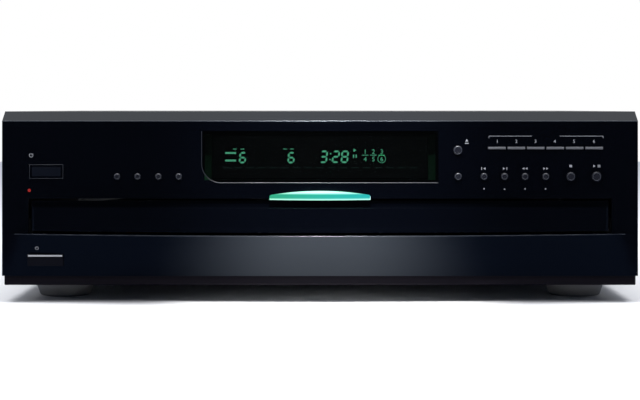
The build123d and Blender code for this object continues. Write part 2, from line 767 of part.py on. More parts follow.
# The loading pinion turns under the rack, on the shaft of its geared motor.
pinion_radius = pinion_teeth * tray_module / 2
pinion_z = tray_z + tray_module - pinion_radius
pinion_x = rack_x[0] + 0.25
gearbox_x = (pinion_x - 34.0, pinion_x - 6.0)
with BuildPart() as loading_pinion:
    with BuildSketch(Plane(origin=(pinion_x, pinion_y, pinion_z), x_dir=(0, 1, 0), z_dir=(1, 0, 0))):
        gear_outline(pinion_teeth, tray_module, math.pi / 2)
        Circle(2.0 + turn_gap, mode=Mode.SUBTRACT)
    extrude(amount=pinion_width)
save(loading_pinion, "loading_pinion")

# Its gearbox stands on the chassis beside the rail, with the motor on its inner side.
with BuildPart() as loading_motor:
    block(gearbox_x, (pinion_y - 12, pinion_y + 12), (floor_z, tray_z - 1.0))
    with Locations(Location((gearbox_x[1], pinion_y, pinion_z), (0, 90, 0))):
        Cylinder(2.0, pinion_x - gearbox_x[1] + pinion_width, align=(Align.CENTER, Align.CENTER, Align.MIN))
    with Locations(Location((gearbox_x[0], pinion_y, floor_z + 14), (0, -90, 0))):
        Cylinder(12.0, 30.0, align=(Align.CENTER, Align.CENTER, Align.MIN))
    fillet(loading_motor.edges().group_by(Axis.X)[0], 1.5)
save(loading_motor, "loading_motor")


# ==== Playing mechanism ====

# The deck is drawn in its own frame: y runs back from the hinge and z is square to the plate.
side_bottom = deck_top - deck_sheet - flange_drop
rod_z = 1.0
home_y = hub_y - home_radius
rod_y = (34.0, hub_y - 6.5)
spindle_bore = 1.5
sled_rack_x = rod_x + 6.0
feed_x = sled_rack_x + fine_teeth * fine_module / 2 - fine_module
feed_y = home_y + sled_half - pickup_travel - 3.0
feed_z = (-1.0, 3.0)
shelf_z = feed_z[0] - 0.3 - 2.0
with BuildPart(deck) as mech_frame:
    block((-deck_half, deck_half), (8, deck_end), (deck_top - deck_sheet, deck_top))
    for side in (-1, 1):
        cheek = sorted((side * (deck_half - 2), side * deck_half))
        block(cheek, (-4, deck_end), (side_bottom, deck_top))
        trunnion = Location((side * (deck_half - 2), 0, 0), (0, side * 90, 0))
        with Locations(trunnion):
            Cylinder(pin_radius, 2 + 3.4 + 2.4 + 1, align=(Align.CENTER, Align.CENTER, Align.MIN))
        for end in rod_y:
            block(
                sorted((side * (rod_x - 3), side * (rod_x + 3))),
                (end - 2, end + 2),
                (rod_z - 3, deck_top - deck_sheet),
            )
    block((sled_rack_x + gap, deck_half - 2), (feed_y - 12, feed_y + 12), (shelf_z, shelf_z + 2))
    block((-10.5, 10.5), (hub_y - path_end, home_y + 9.5), (0, deck_top + 1), mode=Mode.SUBTRACT)
    for side in (-1, 1):
        with Locations(Location((side * rod_x, (rod_y[0] + rod_y[1]) / 2, rod_z), (90, 0, 0))):
            Cylinder(rod_radius + 0.02, rod_y[1] - rod_y[0] + 6, mode=Mode.SUBTRACT)
    peg(spindle_bore + 2.5, (0, hub_y, 0), deck_top + 1, mode=Mode.SUBTRACT)
    peg(3.0, (feed_x, feed_y, shelf_z - 1), 4, mode=Mode.SUBTRACT)
    with Locations(Location((0, deck_end, 2.0), (-90, 0, 0))):
        Cylinder(follower_radius, follower_length, align=(Align.CENTER, Align.CENTER, Align.MIN))
    block((-5, 5), (deck_end - 3, deck_end), (-1, deck_top))
save(mech_frame, "mech_frame")

# Two ground rods that the sled runs on.
with BuildPart(deck) as guide_rods:
    for side in (-1, 1):
        with Locations(Location((side * rod_x, (rod_y[0] + rod_y[1]) / 2, rod_z), (90, 0, 0))):
            Cylinder(rod_radius, rod_y[1] - rod_y[0] + 4)
save(guide_rods, "guide_rods")

# The spindle motor hangs under the deck, and its shaft carries the hub that a disc sits on.
seat_z = deck_top + hub_rise
motor_low = -4.0
with BuildPart(deck) as spindle_motor:
    peg(11.4, (0, hub_y, motor_low), deck_top - deck_sheet - motor_low)
    peg(spindle_bore, (0, hub_y, motor_low), seat_z + 2 - motor_low)
save(spindle_motor, "spindle_motor")

with BuildPart(deck) as spindle_hub:
    peg(8.0, (0, hub_y, deck_top + gap), hub_rise - gap)
    peg(hub_radius, (0, hub_y, seat_z - 3), 3)
    with BuildSketch(deck.offset(seat_z)):
        with Locations((0, hub_y)):
            Circle(7.4)
    extrude(amount=3.0, taper=25)
    peg(spindle_bore + turn_gap, (0, hub_y, deck_top), hub_rise + 2.3, mode=Mode.SUBTRACT)
save(spindle_hub, "spindle_hub")

# The pickup sled on its two rods, with a rack along one side, and the lens in its turret.
turret_radius = 8.0
turret_top = seat_z - 6.5
lens_top = seat_z - 2.0
rack_back = home_y + sled_half
fine_pitch = math.pi * fine_module
fine_gaps = math.ceil((pickup_travel + 12) / fine_pitch)
with BuildPart(deck) as pickup_sled:
    block((-rod_x - 3, rod_x + 3.6), (home_y - sled_half, home_y + sled_half), (-2.5, 3.6))
    peg(turret_radius, (0, home_y, 3.6), turret_top - 3.6)
    block((rod_x + 3.3, sled_rack_x), (feed_y - 4, rack_back), (feed_z[0], feed_z[1]))
    with BuildSketch(
        Plane(
            origin=deck.from_local_coords((sled_rack_x, 0, feed_z[0])),
            x_dir=deck.y_dir,
            z_dir=deck.z_dir,
        )
    ):
        rack_gaps(feed_y - 2 * fine_pitch, fine_gaps, fine_module)
    extrude(amount=feed_z[1] - feed_z[0], mode=Mode.SUBTRACT)
    for side in (-1, 1):
        with Locations(Location((side * rod_x, home_y, rod_z), (90, 0, 0))):
            Cylinder(rod_radius + turn_gap, 4 * sled_half, mode=Mode.SUBTRACT)
save(pickup_sled, "pickup_sled")

with BuildPart(deck) as pickup_lens:
    peg(6.5, (0, home_y, turret_top), lens_top - turret_top - 1.2)
    with BuildSketch(deck.offset(lens_top - 1.2)):
        with Locations((0, home_y)):
            Circle(3.0)
    extrude(amount=1.2, taper=20)
save(pickup_lens, "pickup_lens")

# The feed gear drives the sled's rack, on the shaft of a motor under its shelf.
with BuildPart(deck) as feed_gear:
    with BuildSketch(
        Plane(
            origin=deck.from_local_coords((feed_x, feed_y, feed_z[0])),
            x_dir=deck.x_dir,
            z_dir=deck.z_dir,
        )
    ):
        gear_outline(fine_teeth, fine_module, math.pi)
        Circle(1.5 + turn_gap, mode=Mode.SUBTRACT)
    extrude(amount=feed_z[1] - feed_z[0])
save(feed_gear, "feed_gear")

with BuildPart(deck) as feed_motor:
    peg(9.0, (feed_x, feed_y, shelf_z - 9), 9)
    peg(2.8, (feed_x, feed_y, shelf_z - 1), feed_z[0] - gap - shelf_z + 1)
    peg(1.5, (feed_x, feed_y, shelf_z), feed_z[1] + 0.5 - shelf_z)
save(feed_motor, "feed_motor")

# The lift slider runs across the back of the deck; the deck's pin rides in its sloping slot.
pin_low = deck.from_local_coords((0, deck_end + 2.5, 2.0))
pin_rise = (deck_end + 2.5) * math.sin(tilt) + 2.0 * (1 - math.cos(tilt))
slider_top = pin_low.Z + pin_rise + follower_radius + 2.6
slot_half = follower_radius + 0.55
rack_slider_z = (slider_floor, slider_floor + 2.5)
slider_teeth_y = slider_y + slider_sheet + 4.0
slider_gap_count = math.ceil((pin_rise + 26) / fine_pitch)
with BuildPart() as lift_slider:
    block((-8, pin_rise + 8), (slider_y, slider_y + slider_sheet), (slider_floor, slider_top))
    block(
        (-guide_x - 6, guide_x + pin_rise + 6),
        (slider_y, slider_y + slider_sheet),
        (slider_floor, slider_rail_top - 1),
    )
    with BuildSketch(facing(slider_y)):
        with BuildLine():
            Line((0, pin_low.Z), (pin_rise, pin_low.Z + pin_rise))
        trace(line_width=2 * slot_half)
        with Locations((0, pin_low.Z), (pin_rise, pin_low.Z + pin_rise)):
            Circle(slot_half)
    extrude(amount=-slider_sheet, mode=Mode.SUBTRACT)
    block((-20, pin_rise + 20), (slider_y + slider_sheet, slider_teeth_y), rack_slider_z)
    with BuildSketch(
        Plane(origin=(0, slider_teeth_y, rack_slider_z[0]), x_dir=(1, 0, 0), z_dir=(0, 0, -1))
    ):
        rack_gaps(-4 * fine_pitch, slider_gap_count, fine_module)
    extrude(amount=-(rack_slider_z[1] - rack_slider_z[0]), mode=Mode.SUBTRACT)
save(lift_slider, "lift_slider")

# The lift gear drives the slider from behind, on the shaft of a motor that stands over it.
lift_gear_y = slider_teeth_y - fine_module + fine_teeth * fine_module / 2
with BuildPart() as lift_gear:
    with BuildSketch(Plane(origin=(0, lift_gear_y, rack_slider_z[0]))):
        gear_outline(fine_teeth, fine_module, -math.pi / 2)
        Circle(1.5 + turn_gap, mode=Mode.SUBTRACT)
    extrude(amount=rack_slider_z[1] - rack_slider_z[0])
save(lift_gear, "lift_gear")

motor_legs = 11.0
with BuildPart() as lift_motor:
    peg(8.0, (0, lift_gear_y, rack_slider_z[1] + 2.0), 18)
    peg(1.5, (0, lift_gear_y, rack_slider_z[0]), 6)
    block(
        (-motor_legs - 2, motor_legs + 2),
        (lift_gear_y + 4, lift_gear_y + 10),
        (rack_slider_z[1] + 1.0, rack_slider_z[1] + 2.5),
    )
    for side in (-1, 1):
        leg = sorted((side * motor_legs, side * (motor_legs + 2)))
        block(leg, (lift_gear_y + 4, lift_gear_y + 10), (floor_z, rack_slider_z[1] + 2.5))
save(lift_motor, "lift_motor")

# The clamp bridge spans the tray above the playing position and holds the turning clamper.
bridge_x = rail_x + rail_web + 3.0
bridge_z = slot_top + 0.6
bridge_sheet = 1.5
bridge_y = (play_y - 26.5, play_y + 26.5)
clamp_low = carousel_top + 2.5
with BuildPart() as clamp_bridge:
    block((-bridge_x, bridge_x), bridge_y, (bridge_z, bridge_z + bridge_sheet))
    for y in (bridge_y[0], bridge_y[1] - bridge_sheet):
        block((-bridge_x, bridge_x), (y, y + bridge_sheet), (bridge_z, bridge_z + 8))
    for side in (-1, 1):
        leg = sorted((side * (bridge_x - bridge_sheet), side * bridge_x))
        block(leg, bridge_y, (floor_z, bridge_z + bridge_sheet))
        foot = sorted((side * bridge_x, side * (bridge_x + 7)))
        block(foot, bridge_y, (floor_z, floor_z + bridge_sheet))
    peg(12.0, (0, play_y, bridge_z - 1), 4, mode=Mode.SUBTRACT)
save(clamp_bridge, "clamp_bridge")

# The clamper: a disc that presses from above, held in the bridge's hole by its upper flange.
with BuildPart() as clamper:
    peg(16.0, (0, play_y, clamp_low), 3.5)
    peg(9.0, (0, play_y, clamp_low), bridge_z + bridge_sheet + 2.0 - clamp_low)
    peg(14.5, (0, play_y, bridge_z + bridge_sheet + gap), 2.0)
    peg(8.6, (0, play_y, clamp_low - 1), 4.0, mode=Mode.SUBTRACT)
save(clamper, "clamper")


# ==== Electronics ====

# The main board on its four posts, with chips, capacitors and a connector.
board_z = floor_z + post_height
with BuildPart() as main_board:
    block(board_x, board_y, (board_z, board_z + 1.6))
    with BuildSketch(Plane.XY.offset(board_z + 1.6)):
        with Locations((board_x[0] + 26, board_y[0] + 48)):
            Rectangle(20, 20)
        with Locations((board_x[0] + 62, board_y[0] + 70)):
            Rectangle(14, 14)
        with GridLocations(30, 12, 2, 3):
            with Locations((board_x[0] + 56, board_y[0] + 108)):
                Rectangle(18, 7)
    extrude(amount=3.0)
    for y in (board_y[0] + 16, board_y[0] + 30):
        for x in (board_x[0] + 14, board_x[0] + 30, board_x[0] + 46):
            peg(5.0, (x, y, board_z + 1.6), 15.0)
    block((board_x[1] - 12, board_x[1] - 5), (board_y[0] + 18, board_y[0] + 58), (board_z + 1.6, board_z + 9))
save(main_board, "main_board")

# The mains transformer: base plate, laminated core and winding.
with BuildPart() as power_transformer:
    block(transformer_x, transformer_y, (floor_z, floor_z + 2))
    core_x = (transformer_x[0] + 8, transformer_x[1] - 8)
    core_y = (transformer_y[0] + 14, transformer_y[1] - 14)
    block(core_x, core_y, (floor_z + 2, floor_z + 34))
    block(
        (core_x[0] + 10, core_x[1] - 10),
        (transformer_y[0] + 3, transformer_y[1] - 3),
        (floor_z + 6, floor_z + 30),
    )
    fillet(power_transformer.edges().filter_by(Axis.Z).group_by(Axis.Y)[0], 3.0)
save(power_transformer, "power_transformer")

# Two phono jacks in one housing on the main board.
with BuildPart() as audio_jacks:
    block(
        (jack_x[0] - 7, jack_x[1] + 7),
        (inner_back - 14, inner_back - gap),
        (board_z + 1.6, jack_z + 7),
    )
    for x in jack_x:
        with Locations(Location((x, inner_back - 1, jack_z), (-90, 0, 0))):
            Cylinder(jack_radius, jack_reach + sheet + 1, align=(Align.CENTER, Align.CENTER, Align.MIN))
            Cylinder(jack_radius + 1.0, sheet + 1, align=(Align.CENTER, Align.CENTER, Align.MIN))
            Cylinder(
                1.6,
                jack_reach + sheet + 2,
                align=(Align.CENTER, Align.CENTER, Align.MIN),
                mode=Mode.SUBTRACT,
            )
save(audio_jacks, "audio_jacks")

# The optical output, flush with the rear panel.
with BuildPart() as optical_output:
    with BuildSketch(facing(back_y)):
        with Locations((optical_x, jack_z)):
            Rectangle(optical_size, optical_size)
    extrude(amount=13.0)
    block(
        (optical_x - optical_size / 2, optical_x + optical_size / 2),
        (back_y - 13, inner_back - gap),
        (board_z + 1.6, jack_z),
    )
    with BuildSketch(facing(back_y)):
        with Locations((optical_x, jack_z)):
            Rectangle(6.0, 6.0)
    extrude(amount=9.0, mode=Mode.SUBTRACT)
save(optical_output, "optical_output")

# The gland that holds the mains cord.
with BuildPart() as cord_gland:
    with Locations(Location((gland_x, inner_back - 6, gland_z), (-90, 0, 0))):
        Cylinder(gland_radius - 0.05, 6 + sheet + 3, align=(Align.CENTER, Align.CENTER, Align.MIN))
    with Locations(Location((gland_x, back_y + 0.05, gland_z), (-90, 0, 0))):
        Cylinder(gland_radius + 2, 3, align=(Align.CENTER, Align.CENTER, Align.MIN))
    with Locations(Location((gland_x, inner_back - 4, gland_z), (-90, 0, 0))):
        Cylinder(gland_radius + 1.5, 3.7, align=(Align.CENTER, Align.CENTER, Align.MIN))
    with Locations(Location((gland_x, back_y, gland_z), (-90, 0, 0))):
        Cylinder(gland_bore, 60, mode=Mode.SUBTRACT)
save(cord_gland, "cord_gland")
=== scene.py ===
"""The looks of a six-disc carousel changer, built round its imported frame.

The frame's axes are kept: the front faces -Y and the feet stand on z = 0. Places and sizes of the
detail pieces are given in mm, and each helper that builds a mesh turns them into metres.
"""
from math import cos, pi, radians, sin, sqrt, tau

import bmesh
import bpy
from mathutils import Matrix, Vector


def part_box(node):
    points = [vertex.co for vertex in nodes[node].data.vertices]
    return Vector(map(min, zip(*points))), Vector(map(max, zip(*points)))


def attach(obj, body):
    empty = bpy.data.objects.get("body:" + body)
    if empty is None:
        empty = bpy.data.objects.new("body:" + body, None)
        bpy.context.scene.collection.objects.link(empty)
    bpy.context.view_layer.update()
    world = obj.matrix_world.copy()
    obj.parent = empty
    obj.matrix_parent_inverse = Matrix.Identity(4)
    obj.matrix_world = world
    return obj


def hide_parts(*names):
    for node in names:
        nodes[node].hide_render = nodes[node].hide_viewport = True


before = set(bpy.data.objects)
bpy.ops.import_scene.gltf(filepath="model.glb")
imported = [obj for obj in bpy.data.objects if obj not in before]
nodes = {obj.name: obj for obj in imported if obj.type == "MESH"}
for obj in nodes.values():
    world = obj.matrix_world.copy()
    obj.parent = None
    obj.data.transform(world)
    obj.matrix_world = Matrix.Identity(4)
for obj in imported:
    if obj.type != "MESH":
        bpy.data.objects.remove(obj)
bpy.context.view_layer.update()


# ---- Camera, floor and studio light ----
# A long lens level with the top of the case looks straight at the front. Floor and background are
# white, and the studio behind the lens is dim, so that the black front stays black. A spot lights
# the middle of the floor, which the lower front mirrors. To mirror rays the floor is painted dark
# navy away from its middle: a painted reflection that darkens the sides of the lower front and tints it.
lens_low, lens_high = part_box("light_lens")
face_y = lens_high.y + 0.00002
camera_distance = 1.20
camera_height = 0.133
frame_width = 0.4378
horizon_shift = -0.143
scene = bpy.context.scene


def add(name, data):
    """A new object of the scene, at the origin."""
    item = bpy.data.objects.new(name, data)
    scene.collection.objects.link(item)
    return item


camera_data = bpy.data.cameras.new("studio_camera")
camera_data.sensor_width = 36.0
camera_data.lens = 36.0 * camera_distance / frame_width
camera_data.shift_y = horizon_shift
camera_data.clip_start = 0.05
camera_data.clip_end = 30.0
camera = add("studio_camera", camera_data)
camera.location = (0.0, face_y - camera_distance, camera_height)
camera.rotation_euler = (radians(90), 0, 0)
scene.camera = camera
scene.view_settings.view_transform = "Standard"


def wire(tree, *links):
    """Join sockets, each given as a node, its output, the next node and its input."""
    for source, output, target, entry in links:
        tree.links.new(source.outputs[output], target.inputs[entry])


def put(tree, kind, operation="", group=None, **values):
    """A new node with its operation or group and the values of its inputs."""
    node = tree.nodes.new(kind)
    if operation:
        node.operation = operation
    if group:
        node.node_tree = group
    for socket, value in values.items():
        node.inputs[socket.replace("_", " ")].default_value = value
    return node


def link_mesh(name, bm):
    """Turn a bmesh into an object at the origin."""
    mesh = bpy.data.meshes.new(name)
    bm.to_mesh(mesh)
    bm.free()
    return add(name, mesh)


white_card = bpy.data.materials.new("white_card")
white_card.use_nodes = True
card_tree = white_card.node_tree
card_shader = card_tree.nodes["Principled BSDF"]
card_shader.inputs["Roughness"].default_value = 0.9
card_shader.inputs["Specular IOR Level"].default_value = 0.1
card_place = put(card_tree, "ShaderNodeTexCoord")
card_axes = put(card_tree, "ShaderNodeSeparateXYZ")
card_aside = put(card_tree, "ShaderNodeMath", "ABSOLUTE")
mirror_fade = put(card_tree, "ShaderNodeMapRange", From_Min=0.015, From_Max=0.125)
mirror_fade.interpolation_type = "SMOOTHSTEP"
card_path = put(card_tree, "ShaderNodeLightPath")
mirror_shade_factor = put(card_tree, "ShaderNodeMath", "MULTIPLY")
# Painted reflection: mirror rays see the floor fade to dark navy away from x = 0.
mirror_shade_mix = put(card_tree, "ShaderNodeMixRGB", Color1=(0.86, 0.86, 0.86, 1), Color2=(0.05, 0.07, 0.12, 1))
wire(
    card_tree,
    (card_place, "Object", card_axes, 0),
    (card_axes, "X", card_aside, 0),
    (card_aside, 0, mirror_fade, "Value"),
    (mirror_fade, 0, mirror_shade_factor, 0),
    (card_path, "Is Glossy Ray", mirror_shade_factor, 1),
    (mirror_shade_factor, 0, mirror_shade_mix, "Fac"),
    (mirror_shade_mix, "Color", card_shader, "Base Color"),
)
card_seam, card_reach = -0.36, 3.0
for name, near, far in (("floor_card", card_seam, card_reach), ("apron_card", -card_reach, card_seam)):
    card_mesh = bmesh.new()
    corners = ((-card_reach, near, 0), (card_reach, near, 0), (card_reach, far, 0), (-card_reach, far, 0))
    card_mesh.faces.new([card_mesh.verts.new(corner) for corner in corners])
    card = link_mesh(name, card_mesh)
    card.data.materials.append(white_card)
    card.visible_glossy = name == "floor_card"


def lamp(name, kind, place, target, power):
    """The data of a new lamp that points at a target."""
    data = bpy.data.lights.new(name, kind)
    data.energy = power
    light = add(name, data)
    light.location = place
    light.rotation_euler = (Vector(target) - Vector(place)).to_track_quat("-Z", "Y").to_euler()
    return data


for name, place, target, size, power in (
    ("top_box", (0, -0.55, 1.8), (0, -0.35, 0), (2.4, 0.9), 44),
    ("left_box", (-1.3, -0.9, 0.7), (0, -0.2, 0.05), (0.5, 0.4), 4),
    ("right_box", (1.3, -0.9, 0.7), (0, -0.2, 0.05), (0.5, 0.4), 2.5),
):
    soft_box = lamp(name, "AREA", place, target, power)
    soft_box.shape = "RECTANGLE"
    soft_box.size, soft_box.size_y = size
lip_spot = lamp("lip_spot", "SPOT", (0.01, -0.75, 0.9), (0.01, -0.165, 0), 105)
lip_spot.spot_size = radians(15)
lip_spot.spot_blend = 1.0
lip_spot.shadow_soft_size = 0.02

world = bpy.data.worlds.new("studio_world")
scene.world = world
world.use_nodes = True
sky = world.node_tree
sky_place = put(sky, "ShaderNodeTexCoord")
sky_axes = put(sky, "ShaderNodeSeparateXYZ")
sky_ramp = put(sky, "ShaderNodeValToRGB")
sky_low, sky_high = sky_ramp.color_ramp.elements
sky_low.position, sky_low.color = 0.25, (0.022, 0.024, 0.032, 1)
sky_high.position, sky_high.color = 0.80, (0.74, 0.79, 0.92, 1)
sky_path = put(sky, "ShaderNodeLightPath")
mirror_rays = put(sky, "ShaderNodeMath", "ADD")
sky_behind = put(sky, "ShaderNodeMath", "GREATER_THAN")
sky_behind.inputs[1].default_value = 0.0
mirror_behind = put(sky, "ShaderNodeMath", "MULTIPLY")
white_rays = put(sky, "ShaderNodeMath", "MAXIMUM")
sky_mix = put(sky, "ShaderNodeMixRGB", Color2=(1, 1, 1, 1))
wire(
    sky,
    (sky_place, "Generated", sky_axes, 0),
    (sky_axes, "Z", sky_ramp, 0),
    (sky_axes, "Y", sky_behind, 0),
    (sky_path, "Is Glossy Ray", mirror_rays, 0),
    (sky_path, "Is Transmission Ray", mirror_rays, 1),
    (mirror_rays, 0, mirror_behind, 0),
    (sky_behind, 0, mirror_behind, 1),
    (mirror_behind, 0, white_rays, 0),
    (sky_path, "Is Camera Ray", white_rays, 1),
    (white_rays, 0, sky_mix, "Fac"),
    (sky_ramp, "Color", sky_mix, "Color1"),
    (sky_mix, "Color", sky.nodes["Background"], "Color"),
)


# ---- Chassis, plinth strip and feet ----
# The bottom chassis is folded from zinc-plated sheet. The strip under the front is a hard black
# moulding and the feet are dark grey ones. Two node groups give every finish grain and worn edges.
def new_group(name, inputs, outputs):
    """A shader group with named sockets."""
    group = bpy.data.node_groups.new(name, "ShaderNodeTree")
    for socket, kind, value in inputs:
        entry = group.interface.new_socket(name=socket, in_out="INPUT", socket_type="NodeSocket" + kind)
        entry.default_value = value
    for socket, kind in outputs:
        group.interface.new_socket(name=socket, in_out="OUTPUT", socket_type="NodeSocket" + kind)
    return group, group.nodes.new("NodeGroupInput"), group.nodes.new("NodeGroupOutput")


grain_group, grain_in, grain_out = new_group(
    "moulded_grain",
    (
        ("Scale", "Float", 900.0),
        ("Roughness", "Float", 0.4),
        ("Spread", "Float", 0.06),
        ("Stretch", "Vector", (1, 1, 1)),
    ),
    (("Height", "Float"), ("Roughness", "Float"), ("Cloud", "Float")),
)
grain_place = put(grain_group, "ShaderNodeTexCoord")
grain_scale = put(grain_group, "ShaderNodeVectorMath", "MULTIPLY")
fine_noise = put(grain_group, "ShaderNodeTexNoise", Detail=3.0)
broad_noise = put(grain_group, "ShaderNodeTexNoise", Scale=14.0, Detail=4.0)
centre = put(grain_group, "ShaderNodeMath", "SUBTRACT")
centre.inputs[1].default_value = 0.5
spread = put(grain_group, "ShaderNodeMath", "MULTIPLY_ADD")
wire(
    grain_group,
    (grain_place, "Object", grain_scale, 0),
    (grain_in, "Stretch", grain_scale, 1),
    (grain_scale, 0, fine_noise, "Vector"),
    (grain_in, "Scale", fine_noise, "Scale"),
    (grain_place, "Object", broad_noise, "Vector"),
    (fine_noise, "Fac", grain_out, "Height"),
    (broad_noise, "Fac", centre, 0),
    (centre, 0, spread, 0),
    (grain_in, "Spread", spread, 1),
    (grain_in, "Roughness", spread, 2),
    (spread, 0, grain_out, "Roughness"),
    (broad_noise, "Fac", grain_out, "Cloud"),
)

wear_group, wear_in, wear_out = new_group(
    "worn_edges", (("Amount", "Float", 0.5),), (("Mask", "Float"),)
)
wear_shape = put(wear_group, "ShaderNodeNewGeometry")
wear_range = put(wear_group, "ShaderNodeMapRange", From_Min=0.52, From_Max=0.62)
wear_amount = put(wear_group, "ShaderNodeMath", "MULTIPLY")
wire(
    wear_group,
    (wear_shape, "Pointiness", wear_range, "Value"),
    (wear_range, "Result", wear_amount, 0),
    (wear_in, "Amount", wear_amount, 1),
    (wear_amount, 0, wear_out, "Mask"),
)


def surface(name, colour, roughness, grain=900.0, depth=0.02, spread=0.06, metallic=0.0,
            specular=0.5, tint=(1, 1, 1), stretch=(1, 1, 1), cloud=0.12, wear=0.3, glow=0.0):
    """A finish with fine grain, a cloudy tone and a little wear on its edges."""
    def shade(factor, lift=0.0):
        return (*[min(1.0, factor * c + lift) for c in colour], 1)

    material = bpy.data.materials.new(name)
    material.use_nodes = True
    tree = material.node_tree
    shader = tree.nodes["Principled BSDF"]
    shader.inputs["Metallic"].default_value = metallic
    shader.inputs["Specular IOR Level"].default_value = specular
    shader.inputs["Specular Tint"].default_value = (*tint, 1)
    grain_node = put(tree, "ShaderNodeGroup", group=grain_group, Scale=grain, Roughness=roughness,
                     Spread=spread, Stretch=stretch)
    wear_node = put(tree, "ShaderNodeGroup", group=wear_group, Amount=wear)
    tone = put(tree, "ShaderNodeMixRGB", Color1=shade(1 - cloud), Color2=shade(1 + cloud))
    edge = put(tree, "ShaderNodeMixRGB", Color2=shade(1.6, 0.01))
    bump = put(tree, "ShaderNodeBump", Strength=depth, Distance=0.001)
    wire(
        tree,
        (grain_node, "Cloud", tone, "Fac"),
        (wear_node, "Mask", edge, "Fac"),
        (tone, "Color", edge, "Color1"),
        (edge, "Color", shader, "Base Color"),
        (grain_node, "Roughness", shader, "Roughness"),
        (grain_node, "Height", bump, "Height"),
        (bump, "Normal", shader, "Normal"),
    )
    if glow:
        wire(tree, (edge, "Color", shader, "Emission Color"))
        shader.inputs["Emission Strength"].default_value = glow
    return material


def dress(material, *names):
    """Give CAD nodes their finish."""
    for name in names:
        slots = nodes[name].data.materials
        slots.clear()
        slots.append(material)


zinc_sheet = surface("zinc_sheet", (0.52, 0.53, 0.54), 0.38, grain=260, depth=0.03, metallic=0.9, cloud=0.2)
strip_plastic = surface("strip_plastic", (0.006, 0.005, 0.008), 0.45, grain=1400, depth=0.03,
                        specular=0.05, wear=0.0)
foot_plastic = surface("foot_plastic", (0.20, 0.20, 0.205), 0.5, grain=1100, depth=0.05)
dress(zinc_sheet, "bottom_chassis", "clamp_bridge")
dress(strip_plastic, "lower_strip")
dress(foot_plastic, "feet")


# ---- Top cover, rear panel and screws ----
# One steel sheet folded over the top and sides, in fine textured black paint, and a flat painted
# rear panel. Black pan-head screws with cross recesses hold both.
cover_paint = surface("cover_paint", (0.014, 0.014, 0.018), 0.46, grain=700, depth=0.10, cloud=0.1)
rear_paint = surface("rear_paint", (0.018, 0.018, 0.020), 0.5, grain=800, depth=0.08)
screw_black = surface("screw_black", (0.035, 0.035, 0.038), 0.35, grain=500, metallic=0.8, wear=0.8)
dress(cover_paint, "top_cover")
dress(rear_paint, "rear_panel")


def lowest(name):
    """The lowest corner of a node's box in mm."""
    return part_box(name)[0] * 1000


def highest(name):
    """The highest corner of a node's box in mm."""
    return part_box(name)[1] * 1000


def middle(name):
    """The middle of a node's box in mm."""
    return (lowest(name) + highest(name)) / 2


def new_tree(name, inputs):
    """A geometry tree with a geometry input and output and named value inputs."""
    tree = bpy.data.node_groups.new(name, "GeometryNodeTree")
    tree.interface.new_socket(name="Geometry", in_out="INPUT", socket_type="NodeSocketGeometry")
    for socket, kind in inputs:
        tree.interface.new_socket(name=socket, in_out="INPUT", socket_type="NodeSocket" + kind)
    tree.interface.new_socket(name="Geometry", in_out="OUTPUT", socket_type="NodeSocketGeometry")
    return tree, tree.nodes.new("NodeGroupInput"), tree.nodes.new("NodeGroupOutput")


def end_tree(tree, last, group_in, group_out):
    """Close a tree after its last node with realised instances and one material."""
    real = put(tree, "GeometryNodeRealizeInstances")
    paint = put(tree, "GeometryNodeSetMaterial")
    wire(
        tree,
        (last, 0, real, 0),
        (real, 0, paint, "Geometry"),
        (group_in, "Material", paint, "Material"),
        (paint, 0, group_out, 0),
    )


spots_tree, spots_in, spots_out = new_tree(
    "set_on_points",
    (("Item", "Object"), ("Size", "Float"), ("Material", "Material")),
)
item_info = put(spots_tree, "GeometryNodeObjectInfo", As_Instance=True)
facing_name = put(spots_tree, "GeometryNodeInputNamedAttribute", Name="facing")
facing_name.data_type = "FLOAT_VECTOR"
item_turn = put(spots_tree, "FunctionNodeAlignRotationToVector")
item_turn.axis = "Z"
set_items = put(spots_tree, "GeometryNodeInstanceOnPoints")
wire(
    spots_tree,
    (spots_in, "Geometry", set_items, "Points"),
    (spots_in, "Item", item_info, "Object"),
    (item_info, "Geometry", set_items, "Instance"),
    (facing_name, "Attribute", item_turn, "Vector"),
    (item_turn, "Rotation", set_items, "Rotation"),
    (spots_in, "Size", set_items, "Scale"),
)
end_tree(spots_tree, set_items, spots_in, spots_out)


def settled(item):
    """The evaluated mesh of an object, which goes away."""
    mesh = bpy.data.meshes.new_from_object(item.evaluated_get(bpy.context.evaluated_depsgraph_get()))
    bpy.data.objects.remove(item)
    return mesh


def grown(name, base_mesh, tree, values):
    """Run a geometry tree on a base mesh and keep its result as a plain mesh."""
    base = add(base_mesh.name, base_mesh)
    modifier = base.modifiers.new(tree.name, "NODES")
    modifier.node_group = tree
    for item in tree.interface.items_tree:
        if item.item_type == "SOCKET" and item.in_out == "INPUT" and item.name in values:
            modifier[item.identifier] = values[item.name]
    mesh = settled(base)
    mesh.name = name
    return add(name, mesh)


def set_on(name, item, spots, material, size=1.0):
    """Copies of an item on spots, each a place in mm and the way its top faces."""
    mesh = bpy.data.meshes.new(name + "_spots")
    mesh.from_pydata([Vector(place) / 1000 for place, _ in spots], [], [])
    facing = mesh.attributes.new("facing", "FLOAT_VECTOR", "POINT")
    for entry, (_, way) in zip(facing.data, spots):
        entry.vector = way
    piece = grown(name, mesh, spots_tree, {"Item": item, "Size": size, "Material": material})
    bpy.data.objects.remove(item)
    return piece


def ride(piece, body, material=None):
    """Put a finished piece on its body with its slot and material."""
    if material:
        piece.data.materials.clear()
        piece.data.materials.append(material)
    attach(piece, body)


